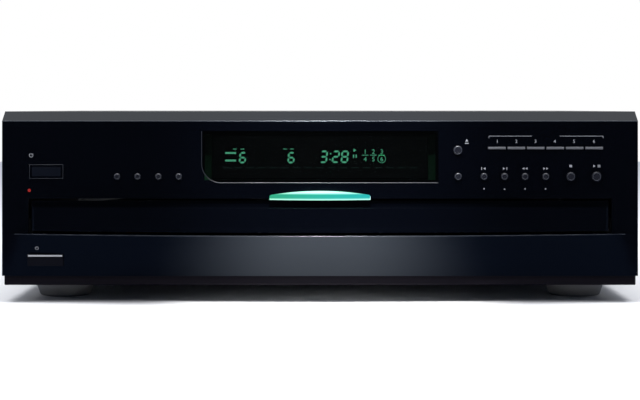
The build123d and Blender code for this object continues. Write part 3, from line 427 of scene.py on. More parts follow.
def turned(name, profile, steps=32):
    """A turned form about Z from (radius, height) corners in mm, lowest first.

    A profile that starts on the axis ends on it too; any other is joined to its start.
    """
    bm = bmesh.new()
    rings = []
    for radius, height in profile:
        count = steps if radius else 1
        rings.append([bm.verts.new(Vector((radius * cos(tau * step / steps),
                                           radius * sin(tau * step / steps), height)) / 1000)
                      for step in range(count)])
    pairs = list(zip(rings, rings[1:]))
    if profile[0][0]:
        pairs.append((rings[-1], rings[0]))
    for lower, upper in pairs:
        for step in range(steps):
            after = (step + 1) % steps
            corners = dict.fromkeys((lower[step % len(lower)], lower[after % len(lower)],
                                     upper[after % len(upper)], upper[step % len(upper)]))
            if len(corners) > 2:
                bm.faces.new(list(corners))
    bmesh.ops.recalc_face_normals(bm, faces=bm.faces)
    for face in bm.faces:
        face.smooth = True
    return link_mesh(name, bm)


screw_head = turned("screw_head", (
    (0, -6), (1.5, -5.6), (1.9, -5.2), (1.9, 0.02), (3.6, 0.02), (3.6, 1.0), (3.3, 1.6), (2.6, 2.0),
    (1.7, 2.19), (1.7, 1.2), (0, 0.9),
), 24)
slot_half, slot_end, slot_floor, slot_edge = 0.5, 1.72, 1.1, 2.15
cross = bmesh.new()
cross.from_mesh(screw_head.data)
for turn in range(4):
    way = Vector((cos(turn * pi / 2), sin(turn * pi / 2), 0))
    side = Vector((-way.y, way.x, 0))
    quarter = [slot_half * (way + side), slot_end * way + slot_half * side,
               0.72 * slot_end * (way + side), slot_half * way + slot_end * side]
    lower, upper = ([cross.verts.new((corner + Vector((0, 0, height))) / 1000) for corner in quarter]
                    for height in (slot_floor, slot_edge))
    cross.faces.new(upper)
    for n in range(4):
        after = (n + 1) % 4
        cross.faces.new((lower[n], lower[after], upper[after], upper[n]))
cross.to_mesh(screw_head.data)
cross.free()
screw_z = 21.0
screw_spots = [((side * highest("top_cover").x, y, screw_z), (side, 0, 0))
               for side in (-1, 1) for y in (-152.5, 173.5)]
screw_spots += [((x, highest("rear_panel").y, screw_z), (0, 1, 0)) for x in (-208.2, 208.2, -70.0, 60.0)]
screws = set_on("pan_screws", screw_head, screw_spots, screw_black)
ride(screws, "chassis")
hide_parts("case_screws")


# ---- Front moulding ----
# The front is one satin black moulding with a navy cast: a flat upper face under a sloped edge, and
# a lower part that bows out to a lip over the floor. Light runs along its two sharp turns and its foot,
# where round beads wear a lighter, glossier copy of the face's finish: a painted highlight.
front_satin = surface("front_satin", (0.0007, 0.0010, 0.0022), 0.17, grain=1600, depth=0.006, spread=0.04,
                      specular=0.31, tint=(0.66, 0.80, 1.0), wear=0.0)
# A copy of the face's finish, far lighter and glossier, for the edge beads: painted highlight.
front_edge = surface("front_edge", (0.014, 0.017, 0.024), 0.22, grain=1600, depth=0.005, specular=0.6,
                     tint=(0.85, 0.92, 1.0), wear=0.0)
dress(front_satin, "front_panel", "tray_front")
slot_top = lowest("light_lens").z + 0.8
face = face_y * 1000
lip = lowest("front_panel").y
half = highest("front_panel").x
panel_bottom = lowest("front_panel").z
bow_radius = (half**2 + (face - lip)**2) / (2 * (face - lip))
lip_z = panel_bottom + 28.9
bevel_z = highest("front_panel").z - 6.6

bead_tree, bead_in, bead_out = new_tree(
    "bead_on_path", (("Radius", "Float"), ("Material", "Material"))
)
path_curve = put(bead_tree, "GeometryNodeMeshToCurve")
bead_round = put(bead_tree, "GeometryNodeCurvePrimitiveCircle", Resolution=10)
bead_sweep = put(bead_tree, "GeometryNodeCurveToMesh", Fill_Caps=True)
wire(
    bead_tree,
    (bead_in, "Geometry", path_curve, "Mesh"),
    (bead_in, "Radius", bead_round, "Radius"),
    (path_curve, "Curve", bead_sweep, "Curve"),
    (bead_round, "Curve", bead_sweep, "Profile Curve"),
)
end_tree(bead_tree, bead_sweep, bead_in, bead_out)


def bead(name, paths, radius, material, closed=False):
    """Round beads, radius in mm, along paths of points in mm."""
    points, edges = [], []
    for path in paths:
        first = len(points)
        points += [Vector(point) / 1000 for point in path]
        edges += [(first + n, first + n + 1) for n in range(len(path) - 1)]
        if closed:
            edges.append((len(points) - 1, first))
    mesh = bpy.data.meshes.new(name + "_path")
    mesh.from_pydata(points, edges, [])
    piece = grown(name, mesh, bead_tree, {"Radius": radius / 1000, "Material": material})
    for polygon in piece.data.polygons:
        polygon.use_smooth = True
    return piece


def bow_at(x):
    """The y of the lip's arc at x, in mm."""
    return lip + bow_radius - sqrt(bow_radius**2 - x**2)


def front_at(x, z):
    """The y of the front's surface at x and z, in mm."""
    if z > slot_top:
        return face
    return face + (bow_at(x) - face) * (z - panel_bottom) / (lip_z - panel_bottom)


along_bow = [half * t / 24 for t in range(-23, 24)]
turns = bead("front_turns", [
    [(x, face + 0.22, bevel_z - 0.12) for x in (-half + 0.4, half - 0.4)],
    [(x, bow_at(x) + 0.32, lip_z - 0.27) for x in along_bow],
    [(x, front_at(x, panel_bottom + 0.25) + 0.3, panel_bottom + 0.32) for x in along_bow],
], 0.34, front_edge)
ride(turns, "chassis")


# ---- Prints on the front ----
# Light grey ink: the selector's frame lines and numbers, the transport symbols, the small marks
# under them and the marks of the power switch. The ink lies a twentieth of a millimetre proud.
def ink_surface(name, colour):
    """Matt screen ink, also used for a painted highlight strip."""
    return surface(name, colour, 0.55, grain=2600, depth=0.02, cloud=0.06, wear=0.0)


def flat_shapes(name, shapes, lift, place):
    """Flat shapes, each a list of (x, height) corners in mm, laid on the surface that place gives."""
    bm = bmesh.new()
    for shape in shapes:
        area = sum(a[0] * b[1] - b[0] * a[1] for a, b in zip(shape, shape[1:] + shape[:1]))
        corners = shape if area > 0 else shape[::-1]
        bm.faces.new([bm.verts.new((x / 1000, (place(x, z) - lift) / 1000, z / 1000)) for x, z in corners])
    return link_mesh(name, bm)


def box_shape(x, z, across, tall):
    """A rectangle round its middle."""
    return [(x - across / 2, z - tall / 2), (x + across / 2, z - tall / 2),
            (x + across / 2, z + tall / 2), (x - across / 2, z + tall / 2)]


def arrow(x, z, size, way):
    """A triangle that points left, right, up or down."""
    turn = {"right": 0, "up": 1, "left": 2, "down": 3}[way] * pi / 2
    return [(x + size * cos(turn + a) * k, z + size * sin(turn + a) * k)
            for a, k in ((0, 0.62), (2.2, 0.78), (-2.2, 0.78))]


def ring_shape(x, z, radius, thick, start=0.0, sweep=tau, steps=20):
    """Quads of a ring or an arc."""
    shapes = []
    for n in range(steps):
        a, b = (start + sweep * k / steps for k in (n, n + 1))
        shapes.append([(x + r * cos(t), z + r * sin(t))
                       for r, t in ((radius, a), (radius + thick, a), (radius + thick, b), (radius, b))])
    return shapes


def letters(text, x, z, tall):
    """Flat polygons of plain figures or words, with their middle at x and z."""
    data = bpy.data.curves.new("figures", "FONT")
    data.body = text
    data.size = tall / 0.72
    data.align_x = "CENTER"
    data.resolution_u = 3
    mesh = settled(add("figures", data))
    shapes = [[(mesh.vertices[v].co.x + x, mesh.vertices[v].co.y + z - tall / 2) for v in polygon.vertices]
              for polygon in mesh.polygons]
    bpy.data.meshes.remove(mesh)
    return shapes


panel_ink = ink_surface("panel_ink", (0.30, 0.31, 0.34))
line_z, line = slot_top + 42.7, 0.28
print_shapes = [box_shape(x, line_z, across, line) for x, across in ((130.2, 29.4), (178.9, 29.8))]
print_shapes += [box_shape(x, line_z - 0.7, line, 1.4) for x in (115.6, 193.7)]
for number, x in enumerate((121.3, 134.3, 147.4, 160.6, 173.8, 187.4), 1):
    print_shapes += letters(str(number), x, slot_top + 39.2, 2.3)
eject_x, eject_z = 100.4, slot_top + 39.3
icon_z, upper_z, small_z = slot_top + 20.5, slot_top + 22.2, slot_top + 6.6
for x, z, size, way in (
    (eject_x, eject_z + 0.5, 1.6, "up"), (112.6, icon_z, 1.35, "left"), (125.8, icon_z, 1.35, "right"),
    (139.2, icon_z, 1.35, "left"), (141.3, icon_z, 1.35, "left"), (153.3, icon_z, 1.35, "right"),
    (155.4, icon_z, 1.35, "right"), (187.6, upper_z, 1.4, "right"), (112.2, small_z, 1.0, "down"),
    (126.2, small_z, 1.0, "up"), (140.2, small_z, 1.0, "left"), (154.4, small_z, 1.0, "right"),
):
    print_shapes.append(arrow(x, z, size, way))
for x, z, across, tall in (
    (eject_x, eject_z - 1.5, 2.6, 0.5), (110.6, icon_z, 0.45, 2.0), (127.8, icon_z, 0.45, 2.0),
    (171.5, upper_z, 1.7, 1.7), (190.3, upper_z, 0.5, 1.8), (191.4, upper_z, 0.5, 1.8),
    (-195.2, 22.6, 2.6, 0.5), (-195.2, 23.4, 0.5, 1.0), (-186.4, 23.3, 2.6, 0.5), (-186.4, 22.6, 0.5, 1.0),
):
    print_shapes.append(box_shape(x, z, across, tall))
for x, z, size in ((-197.6, slot_top + 29.6, 1.1), (-193.2, 37.7, 0.95)):
    print_shapes += ring_shape(x, z, size, 0.3, radians(120), radians(300))
    print_shapes.append(box_shape(x, z + size * 0.7, 0.3, 1.3))
print_shapes += letters("ON", -190.6, 22.9, 1.7) + letters("OFF", -181.2, 22.9, 1.7)
prints = flat_shapes("front_prints", print_shapes, 0.05, front_at)
ride(prints, "chassis", panel_ink)


# ---- Display ----
# A smoked, polished window over a vacuum fluorescent tube. Its segments glow pale green: disc and
# track figures, the time, the play mark and the calendar of discs. A dark bead rims the window.
def smoked(name, colour, alpha):
    """Tinted polished plastic that lets part of the light through."""
    material = surface(name, colour, 0.06, grain=200, depth=0.0, spread=0.01, specular=0.3, cloud=0.05,
                       wear=0.0)
    tree = material.node_tree
    clear = put(tree, "ShaderNodeBsdfTransparent")
    mix = put(tree, "ShaderNodeMixShader", Fac=alpha)
    wire(
        tree,
        (clear, 0, mix, 1),
        (tree.nodes["Principled BSDF"], 0, mix, 2),
        (mix, 0, tree.nodes["Material Output"], "Surface"),
    )
    return material


dress(smoked("window_smoke", (0.0006, 0.0008, 0.0008), 0.55), "display_window")
dress(surface("tube_dark", (0.004, 0.006, 0.006), 0.12, grain=300, depth=0.0, specular=0.3), "display_tube")
dress(surface("board_mask", (0.02, 0.12, 0.05), 0.4, grain=500, depth=0.02), "display_board", "main_board")
dress(surface("lamp_red", (0.30, 0.015, 0.012), 0.25, grain=300, depth=0.0, wear=0.0), "standby_lamp")
tube_front = lowest("display_tube").y
segment_glow = surface("segment_glow", (0.16, 0.80, 0.46), 0.5, grain=3000, depth=0.0, cloud=0.15,
                       wear=0.0, glow=1.15)
grid_glow = surface("grid_glow", (0.02, 0.06, 0.05), 0.5, grain=3000, depth=0.0, wear=0.0, glow=0.4)
strokes = {"2": "abged", "3": "abgcd", "6": "afgedc", "8": "abcdefg"}


def segment_digit(digit, x, z, across, tall, thick):
    """Slanted seven-segment figure with its lower left corner at x and z."""
    places = {"a": (0, 1, 1, 1), "g": (0, 0.5, 1, 0.5), "d": (0, 0, 1, 0), "f": (0, 0.5, 0, 1),
              "b": (1, 0.5, 1, 1), "e": (0, 0, 0, 0.5), "c": (1, 0, 1, 0.5)}
    shapes = []
    for stroke in strokes[digit]:
        x0, z0, x1, z1 = places[stroke]
        start = Vector((x + across * x0, z + tall * z0))
        end = Vector((x + across * x1, z + tall * z1))
        along = (end - start).normalized() * thick * 0.55
        side = Vector((-along.y, along.x)) * 0.9
        start, end = start + along * 0.35, end - along * 0.35
        outline = (start, start + along + side, end - along + side, end, end - along - side,
                   start + along - side)
        shapes.append([(p.x + 0.10 * (p.y - z), p.y) for p in outline])
    return shapes


glow_shapes = [box_shape(-61.3, slot_top + r, 7.5, 1.3) for r in (31.1, 25.9)]
for digit, x, rise, across, tall in (("6", -55.2, 24.6, 3.7, 6.6), ("6", -21.9, 24.6, 3.7, 6.6),
                                     ("3", 0.2, 24.8, 4.0, 7.4), ("2", 8.5, 24.8, 4.0, 7.4),
                                     ("8", 14.6, 24.8, 4.0, 7.4)):
    glow_shapes += segment_digit(digit, x, slot_top + rise, across, tall, 1.25)
glow_shapes += [box_shape(x, slot_top + r, 0.9, 0.9) for x, r in ((6.88, 26.6), (7.28, 30.6))]
glow_shapes += [box_shape(x, slot_top + 33.8, 2.6, 0.45) for x in (-58.4, -53.2, -24.0, -19.2)]
glow_shapes.append(arrow(23.8, slot_top + 33.0, 1.8, "right"))
glow_shapes += [box_shape(x, slot_top + 28.9, 0.8, 2.2) for x in (23.0, 24.8)]
for number, x in ((1, 31.0), (2, 36.6), (3, 42.3)):
    glow_shapes += letters(str(number), x, slot_top + 32.1, 3.2)
    glow_shapes += letters(str(number + 3), x, slot_top + 27.0, 3.2)
glow_shapes += [box_shape(x, slot_top + 29.6, 4.4, 0.4) for x in (31.0, 36.6, 42.3)]
glow_shapes += ring_shape(42.3, slot_top + 27.0, 2.5, 0.35)
segments = flat_shapes("display_segments", glow_shapes, 0.06, lambda x, z: tube_front)
ride(segments, "chassis", segment_glow)
idle_shapes = [box_shape(x, slot_top + 21.0, 5.2, 0.5) for x in range(-64, 66, 8)]
idle = flat_shapes("display_idle", idle_shapes, 0.05, lambda x, z: tube_front)
ride(idle, "chassis", grid_glow)
window_low, window_high = lowest("display_window"), highest("display_window")
rim_x, rim_y, rim_z = window_low.x - 0.15, face - 0.05, window_low.z - 0.15
scoop = 13.0
rim_path = [(rim_x, rim_y, window_high.z), (rim_x, rim_y, window_low.z + scoop)]
for n in range(1, 13):
    a = pi + n * pi / 24
    rim_path.append((rim_x + scoop * (1 + cos(a)), rim_y, rim_z + scoop * (1 + sin(a))))
rim_path.append((window_high.x, rim_y, rim_z))
rim_dark = surface("rim_dark", (0.010, 0.012, 0.018), 0.3, grain=1500, depth=0.0, specular=0.6)
rim = bead("window_rim", [rim_path], 0.26, rim_dark)
ride(rim, "chassis")


# ---- Lens over the tray ----
# A clear green light guide that glows: deep green, shading towards cyan from its left end to its
# right, with a white right tip. Pale bands along its top and bottom edges are painted highlights of
# its rounded front, and they glow with the rest.
lens_green = surface("lens_green", (0.03, 0.36, 0.22), 0.12, grain=300, depth=0.0, spread=0.02,
                     specular=0.6, wear=0.0)
lens_tree = lens_green.node_tree
lens_shader = lens_tree.nodes["Principled BSDF"]
lens_place = put(lens_tree, "ShaderNodeTexCoord")
lens_axes = put(lens_tree, "ShaderNodeSeparateXYZ")
lens_along = put(lens_tree, "ShaderNodeMapRange", From_Min=lens_low.x, From_Max=lens_high.x)
lens_up = put(lens_tree, "ShaderNodeMapRange", From_Min=lens_low.z, From_Max=lens_high.z)
along_ramp = put(lens_tree, "ShaderNodeValToRGB")
along_ramp.color_ramp.elements[0].color = (0.015, 0.18, 0.10, 1)
along_ramp.color_ramp.elements[1].color = (1, 1, 1, 1)
along_ramp.color_ramp.elements.new(0.9999).color = (0.01, 0.21, 0.20, 1)
# Painted highlights: pale bands along the lens's top and bottom edges.
lens_highlight_bands = put(lens_tree, "ShaderNodeValToRGB")
lens_highlight_bands.color_ramp.elements[0].color = (0.75, 0.75, 0.75, 1)
lens_highlight_bands.color_ramp.elements[1].color = (1, 1, 1, 1)
for place, level in ((0.10, 0.35), (0.22, 0.0), (0.62, 0.0), (0.86, 0.75)):
    lens_highlight_bands.color_ramp.elements.new(place).color = (level, level, level, 1)
lens_highlight_mix = put(lens_tree, "ShaderNodeMixRGB", Color2=(0.42, 0.86, 0.66, 1))
wire(
    lens_tree,
    (lens_place, "Object", lens_axes, 0),
    (lens_axes, "X", lens_along, "Value"),
    (lens_axes, "Z", lens_up, "Value"),
    (lens_along, "Result", along_ramp, "Fac"),
    (lens_up, "Result", lens_highlight_bands, "Fac"),
    (lens_highlight_bands, "Color", lens_highlight_mix, "Fac"),
    (along_ramp, "Color", lens_highlight_mix, "Color1"),
    (lens_highlight_mix, "Color", lens_shader, "Base Color"),
    (lens_highlight_mix, "Color", lens_shader, "Emission Color"),
)
lens_shader.inputs["Emission Strength"].default_value = 0.42
dress(lens_green, "light_lens")


# ---- Buttons ----
# Satin moulded keys: dark round ones, bars for the discs, a flat standby key in a frame, and the power
# switch. The disc bars are light grey all over, a painted highlight of their lit top edges; light grey
# rings on the round keys are painted highlights of their domes, and a light grey strip along the
# switch's top is a painted highlight of its lit upper edge.
key_satin = surface("key_satin", (0.010, 0.011, 0.017), 0.26, grain=1500, depth=0.01, specular=0.6)
# Light grey for the whole disc bar: painted highlight of its lit top edge.
bar_satin = surface("bar_satin", (0.085, 0.088, 0.10), 0.35, grain=1500, depth=0.01)
standby_satin = surface("standby_satin", (0.0030, 0.0045, 0.0090), 0.30, grain=1500, depth=0.01,
                        specular=0.2, wear=0.0)
for name in nodes:
    if name.endswith("_button"):
        disc_key = name[:5] == "disc_" and name[5].isdigit()
        dress(bar_satin if disc_key else key_satin, name)
dress(standby_satin, "standby_button")
dress(surface("switch_satin", (0.004, 0.004, 0.007), 0.3, grain=1500, depth=0.01, specular=0.1, wear=0.0),
      "power_button")
# Grey of the standby key's frame, used also for painted highlight rings on the round keys.
frame_grey = surface("frame_grey", (0.030, 0.034, 0.044), 0.3, grain=1500, depth=0.0, specular=0.7)
standby_x, standby_z = -187.2, slot_top + 18.5
frame_path = [(standby_x + across * 11.4, face - 0.5, standby_z + rise * 4.7)
              for across, rise in ((-1, -1), (1, -1), (1, 1), (-1, 1))]
key_frame = bead("standby_frame", [frame_path], 0.14, frame_grey, closed=True)
ride(key_frame, "chassis")
round_keys = [name for name in nodes
              if name.endswith("_button") and name[:5] not in ("disc_", "stand", "power")]
# Light grey rings on the fronts of the round keys and the skip key: painted highlights of their domes.
for name in [*round_keys, "disc_skip_button"]:
    key_low, key_middle = lowest(name), middle(name)
    radius = key_middle.z - key_low.z - 1.65
    crown = [(key_middle.x + radius * cos(a), key_low.y + 0.02, key_middle.z + radius * sin(a))
             for a in [tau * n / 24 for n in range(24)]]
    piece = bead(name.replace("_button", "_crown"), [crown], 0.13, frame_grey, closed=True)
    ride(piece, name)
# A light grey strip along the switch's top: painted highlight of its lit upper edge, in the matt ink finish.
power_front = lowest("power_button").y
power_highlight_shape = box_shape(-187.3, highest("power_button").z - 0.95, 23.4, 1.1)
power_highlight_strip = flat_shapes("power_ledge", [power_highlight_shape], 0.05, lambda x, z: power_front)
ride(power_highlight_strip, "power_button", ink_surface("ledge_grey", (0.34, 0.35, 0.37)))


# ---- Tray and its rails ----
# A matt black moulded tray with a rack under one flange slides between two grey moulded rails that
# stand on the chassis.
tray_matt = surface("tray_matt", (0.014, 0.014, 0.017), 0.5, grain=1000, depth=0.05)
rail_grey = surface("rail_grey", (0.16, 0.16, 0.17), 0.45, grain=600, depth=0.04, cloud=0.15)
dress(tray_matt, "tray")
dress(rail_grey, "tray_rail_left", "tray_rail_right")


# ---- Carousel ----
# A black moulded turntable with six wells round a dome and a pressed-in cap. Plain well numbers
# are printed by the rim, and three felt pads in each well spare the disc.
dress(surface("carousel_matt", (0.020, 0.020, 0.024), 0.42, grain=900, depth=0.04), "carousel")
dress(surface("cap_satin", (0.028, 0.028, 0.033), 0.28, grain=700, depth=0.02, specular=0.6), "carousel_cap")
up = (0, 0, 1)
carousel_low = lowest("carousel")
carousel_y = middle("carousel").y
number_at, well_at, pad_at = 168, 124.5, 54.5
number_mesh = bmesh.new()
for number in range(1, 7):
    angle = pi / 2 + (number - 0.5) * pi / 3
    way = Vector((cos(angle), sin(angle), 0))
    side = Vector((way.y, -way.x, 0))
    foot = Vector((0, carousel_y, carousel_low.z + 9.53)) + number_at * way
    for shape in letters(str(number), 0, 0, 8.0):
        number_mesh.faces.new([number_mesh.verts.new((foot + x * side + z * way) / 1000) for x, z in shape])
well_numbers = link_mesh("well_numbers", number_mesh)
ride(well_numbers, "carousel", ink_surface("well_ink", (0.42, 0.43, 0.46)))
felt = surface("felt", (0.05, 0.05, 0.055), 0.95, grain=2400, depth=0.5, specular=0.1, cloud=0.3)
felt_pad = turned("felt_pad", ((0, 0), (2.6, 0), (2.6, 0.25), (2.3, 0.45), (0, 0.45)), 20)
pad_spots = []
for angle in (pi / 2 + well * pi / 3 for well in range(6)):
    for turn in (-0.9, 0.0, 0.9):
        pad_spots.append(((well_at * cos(angle) + pad_at * cos(angle + turn),
                           carousel_y + well_at * sin(angle) + pad_at * sin(angle + turn),
                           carousel_low.z + 3.0), up))
ride(set_on("well_pads", felt_pad, pad_spots, felt), "carousel")
cap_bright = surface("cap_bright", (0.30, 0.30, 0.31), 0.3, grain=500, metallic=0.8)
cap_ring = turned("cap_ring", ((16, 0), (17.2, 0), (17.2, 0.15), (17, 0.3), (16.2, 0.3), (16, 0.15)), 64)
cap_spots = [((0, carousel_y, highest("carousel_cap").z), up)]
ride(set_on("cap_trim", cap_ring, cap_spots, cap_bright), "carousel")


# ---- Tray and turntable drives ----
# White acetal gears on the shafts of small steel motors, each gear kept by a push-on steel washer.
# The loading motor's red and black leads run to the main board.
motor_can = surface("motor_can", (0.48, 0.48, 0.47), 0.28, grain=300, depth=0.02, metallic=0.9,
                    stretch=(1, 1, 6))
motor_end = surface("motor_end", (0.03, 0.03, 0.03), 0.4, grain=600, depth=0.03)
acetal = surface("acetal", (0.62, 0.60, 0.53), 0.38, grain=900, depth=0.02, cloud=0.08)
steel_screw = surface("steel_screw", (0.45, 0.45, 0.46), 0.3, grain=400, metallic=0.9, wear=0.6)
dress(motor_can, "loading_motor", "roulette_motor", "lift_motor", "spindle_motor", "feed_motor")
dress(acetal, "roulette_gear", "loading_pinion", "feed_gear", "lift_gear")
roulette_x = middle("roulette_gear").x
pinion_low, pinion_middle = lowest("loading_pinion"), middle("loading_pinion")
for name, body, spot in (
    ("roulette_washer", "roulette_gear", ((roulette_x, carousel_y, highest("roulette_gear").z), up)),
    ("pinion_washer", "loading_pinion", ((pinion_low.x, pinion_middle.y, pinion_middle.z), (-1, 0, 0))),
):
    washer = turned(name + "_item", ((2.1, 0), (3.6, 0), (3.6, 0.2), (3.3, 0.4), (2.4, 0.4), (2.1, 0.3)), 28)
    ride(set_on(name, washer, [spot], steel_screw), body)
can = lowest("loading_motor")
can_cap = turned("can_cap", ((0, 0), (9.4, 0), (9.4, 0.4), (9.0, 0.8), (3.4, 0.8), (3.2, 1.6), (2.6, 1.9),
                             (0, 1.9)), 36)
can_spots = [((can.x, pinion_middle.y, can.z + 14), (-1, 0, 0))]
ride(set_on("motor_cap", can_cap, can_spots, motor_end), "chassis")
board_low, board_high = lowest("main_board"), highest("main_board")
lead_red = surface("lead_red", (0.42, 0.02, 0.02), 0.35, grain=900, depth=0.01)
lead_black = surface("lead_black", (0.015, 0.015, 0.016), 0.35, grain=900, depth=0.01)
for name, apart, material in (("motor_lead_red", 0, lead_red), ("motor_lead_black", 4, lead_black)):
    path = [
        (can.x - 0.6, pinion_middle.y + 4, can.z + 12 + apart),
        (can.x - 4, pinion_middle.y + 6, can.z + 11 + apart),
        (can.x - 8, pinion_middle.y + 16, can.z + 4),
        (can.x - 8 + apart, pinion_middle.y + 50, can.z + 1.2),
        (can.x + 6 + apart, board_low.y - 6, can.z + 1.6),
        (can.x + 38, board_low.y - 2, can.z + 9),
        (board_high.x - 9 + apart / 2, board_low.y + 16, board_low.z + 7),
    ]
    ride(bead(name, [path], 0.7, material), "chassis")


# ---- Playing mechanism ----
# A black glass-filled deck that swings on its hinge, with ground steel rods, the spindle motor and its
# hub, and the pickup sled. The hub carries a steel disc and six spring balls that centre the disc.
deck_matt = surface("deck_matt", (0.022, 0.022, 0.024), 0.55, grain=700, depth=0.08, cloud=0.2)
rod_ground = surface("rod_ground", (0.62, 0.62, 0.63), 0.16, grain=300, depth=0.01, metallic=1.0)
hub_black = surface("hub_black", (0.016, 0.016, 0.018), 0.3, grain=900, depth=0.02)
dress(deck_matt, "mech_frame")
dress(rod_ground, "guide_rods")
dress(hub_black, "spindle_hub")
dress(surface("sled_black", (0.026, 0.026, 0.028), 0.42, grain=800, depth=0.05), "pickup_sled")
dress(surface("lens_clear", (0.05, 0.07, 0.16), 0.04, grain=200, depth=0.0, specular=0.9, wear=0.0),
      "pickup_lens")
tilt = radians(10)
deck_up = (0, sin(tilt), cos(tilt))
hinge_y, hinge_z = 16, 42
hub_along, home_along = 110.5, 86.5
seat, lens_top = 21.5, 18.3


def deck(x, y, z):
    """A place on the tilted deck, from its hinge, in mm."""
    return (x, hinge_y + y * cos(tilt) + z * sin(tilt),
            hinge_z - y * sin(tilt) + z * cos(tilt))


hub_plate = turned("hub_plate", ((1.7, 0), (5.4, 0), (5.4, 0.2), (5.1, 0.4), (2.0, 0.4), (1.7, 0.25)), 40)
hub_spots = [(deck(0, hub_along, seat + 3.0), deck_up)]
ride(set_on("hub_disc", hub_plate, hub_spots, rod_ground), "spindle")
ball_radius, ball_at = 0.9, 6.45
ball_arc = [(ball_radius * sin(a), -ball_radius * cos(a))
            for a in (pi * n / 10 for n in range(1, 10))]
ball = turned("ball", ((0, -ball_radius), *ball_arc, (0, ball_radius)), 16)
ball_spots = [(deck(ball_at * cos(a), hub_along + ball_at * sin(a), seat + 1.3), deck_up)
              for a in (tau * n / 6 for n in range(6))]
ride(set_on("hub_balls", ball, ball_spots, rod_ground), "spindle")
rubber = surface("rubber", (0.018, 0.018, 0.018), 0.75, grain=1400, depth=0.12, specular=0.25)
seat_ring = turned("seat_ring", ((10, 0), (13.2, 0), (13.2, 0.2), (12.8, 0.4), (10.4, 0.4), (10, 0.2)), 48)
seat_spots = [(deck(0, hub_along, seat), deck_up)]
ride(set_on("disc_seat", seat_ring, seat_spots, rubber), "spindle")
collar = turned("collar", ((3.4, 0), (5.6, 0), (5.6, 0.5), (5.2, 0.9), (3.9, 0.9), (3.4, 0.5)), 40)
collar_spots = [(deck(0, home_along, lens_top), deck_up)]
ride(set_on("lens_ring", collar, collar_spots, motor_end), "pickup")


# ---- Lift ----
# A grey acetal slider with cam slots shifts sideways and swings the deck up. A gear on the shaft of a
# small motor drives its rack.
dress(surface("slider_grey", (0.30, 0.30, 0.31), 0.4, grain=800, depth=0.02), "lift_slider")
lift_cap = turned("lift_cap", ((0, 0), (5.8, 0), (5.8, 0.3), (5.5, 0.6), (2.4, 0.6), (2.2, 1.2), (1.8, 1.4),
                               (0, 1.4)), 32)
lift_spots = [((0, middle("lift_gear").y, highest("lift_motor").z), up)]
ride(set_on("lift_motor_cap", lift_cap, lift_spots, motor_end), "chassis")


# ---- Clamp bridge and clamper ----
# A folded zinc-plated bridge, screwed down at its feet, holds the loose black clamper. A felt ring
# under the clamper presses the disc, and a steel yoke plate on top feels the hub's magnet.
dress(hub_black, "clamper")
clamp_y = middle("clamper").y
felt_spots = [((0, clamp_y, lowest("clamper").z), up)]
felt_ring = turned("felt_ring", ((9.2, -0.5), (15.2, -0.5), (15.4, -0.3), (15.4, 0), (9, 0), (9, -0.3)), 64)
ride(set_on("clamper_felt", felt_ring, felt_spots, felt), "clamper")
yoke = turned("yoke", ((0, 0), (11.0, 0), (11.0, 0.4), (10.6, 0.7), (2.2, 0.7), (1.9, 0.4), (0, 0.4)), 56)
yoke_spots = [((0, clamp_y, highest("clamper").z), up)]
ride(set_on("clamper_yoke", yoke, yoke_spots, rod_ground), "clamper")


def small_screws(name, spots):
    """Raised-head steel screws, each head turned with a rounded rim and a round socket."""
    head = turned(name + "_head", ((0, -1.5), (1.1, -1.3), (1.4, -0.9), (1.4, 0), (2.5, 0), (2.5, 0.5),
                                   (2.2, 1.0), (1.4, 1.3), (0.8, 1.3), (0.7, 0.5), (0, 0.3)), 20)
    ride(set_on(name, head, spots, steel_screw), "chassis")


bridge_low, bridge_high = lowest("clamp_bridge"), highest("clamp_bridge")
small_screws("bridge_screws", [((side * (bridge_high.x - 3.6), y, bridge_low.z + 1.5), up)
                               for side in (-1, 1) for y in (bridge_low.y + 9, bridge_high.y - 9)])


# ---- Main board ----
# A green glass-fibre board on four posts. Its chips are black moulded packages with rows of tinned
# pins, its capacitors have blue sleeves and scored tops, and the leads enter a cream connector.
board_top = board_low.z + 1.6


def package(name, x, y, z, across, deep, tall):
    """A moulded body with drafted sides and a bevelled top, standing on its middle x, y, z in mm."""
    bm = bmesh.new()
    rings = []
    for grow, height in ((0.10, 0.0), (0.25, tall * 0.5), (0.0, tall), (-0.5, tall + 0.12)):
        half_x, half_y = across / 2 + grow, deep / 2 + grow
        rings.append([bm.verts.new(Vector((x + sx * half_x, y + sy * half_y, z + height)) / 1000)
                      for sx, sy in ((-1, -1), (1, -1), (1, 1), (-1, 1))])
    for low_ring, high_ring in zip(rings, rings[1:]):
        for n in range(4):
            bm.faces.new((low_ring[n], low_ring[(n + 1) % 4], high_ring[(n + 1) % 4], high_ring[n]))
    bm.faces.new(rings[-1])
    bm.faces.new(rings[0][::-1])
    return link_mesh(name, bm)


chip_black = surface("chip_black", (0.018, 0.018, 0.019), 0.5, grain=1600, depth=0.05)
tinned = surface("tinned", (0.58, 0.58, 0.57), 0.3, grain=500, metallic=0.9)
pin_pitch = 1.27
chips = [(board_low.x + 26, board_low.y + 48, 20, 20), (board_low.x + 62, board_low.y + 70, 14, 14)]
chips += [(board_low.x + 56 + 30 * column, board_low.y + 108 + 12 * row, 18, 7)
          for column in (-0.5, 0.5) for row in (-1, 0, 1)]
pin_spots = []
for number, (x, y, across, deep) in enumerate(chips, 1):
    ride(package(f"chip_{number}", x, y, board_top, across, deep, 3.1), "chassis", chip_black)
    count = int(across / pin_pitch) - 1
    for n in range(count):
        along = (n - (count - 1) / 2) * pin_pitch
        for side in (-1, 1):
            pin_spots.append(((x + along, y + side * (deep / 2 + 0.75), board_top), up))
            if across == deep:
                pin_spots.append(((x + side * (across / 2 + 0.75), y + along, board_top), up))
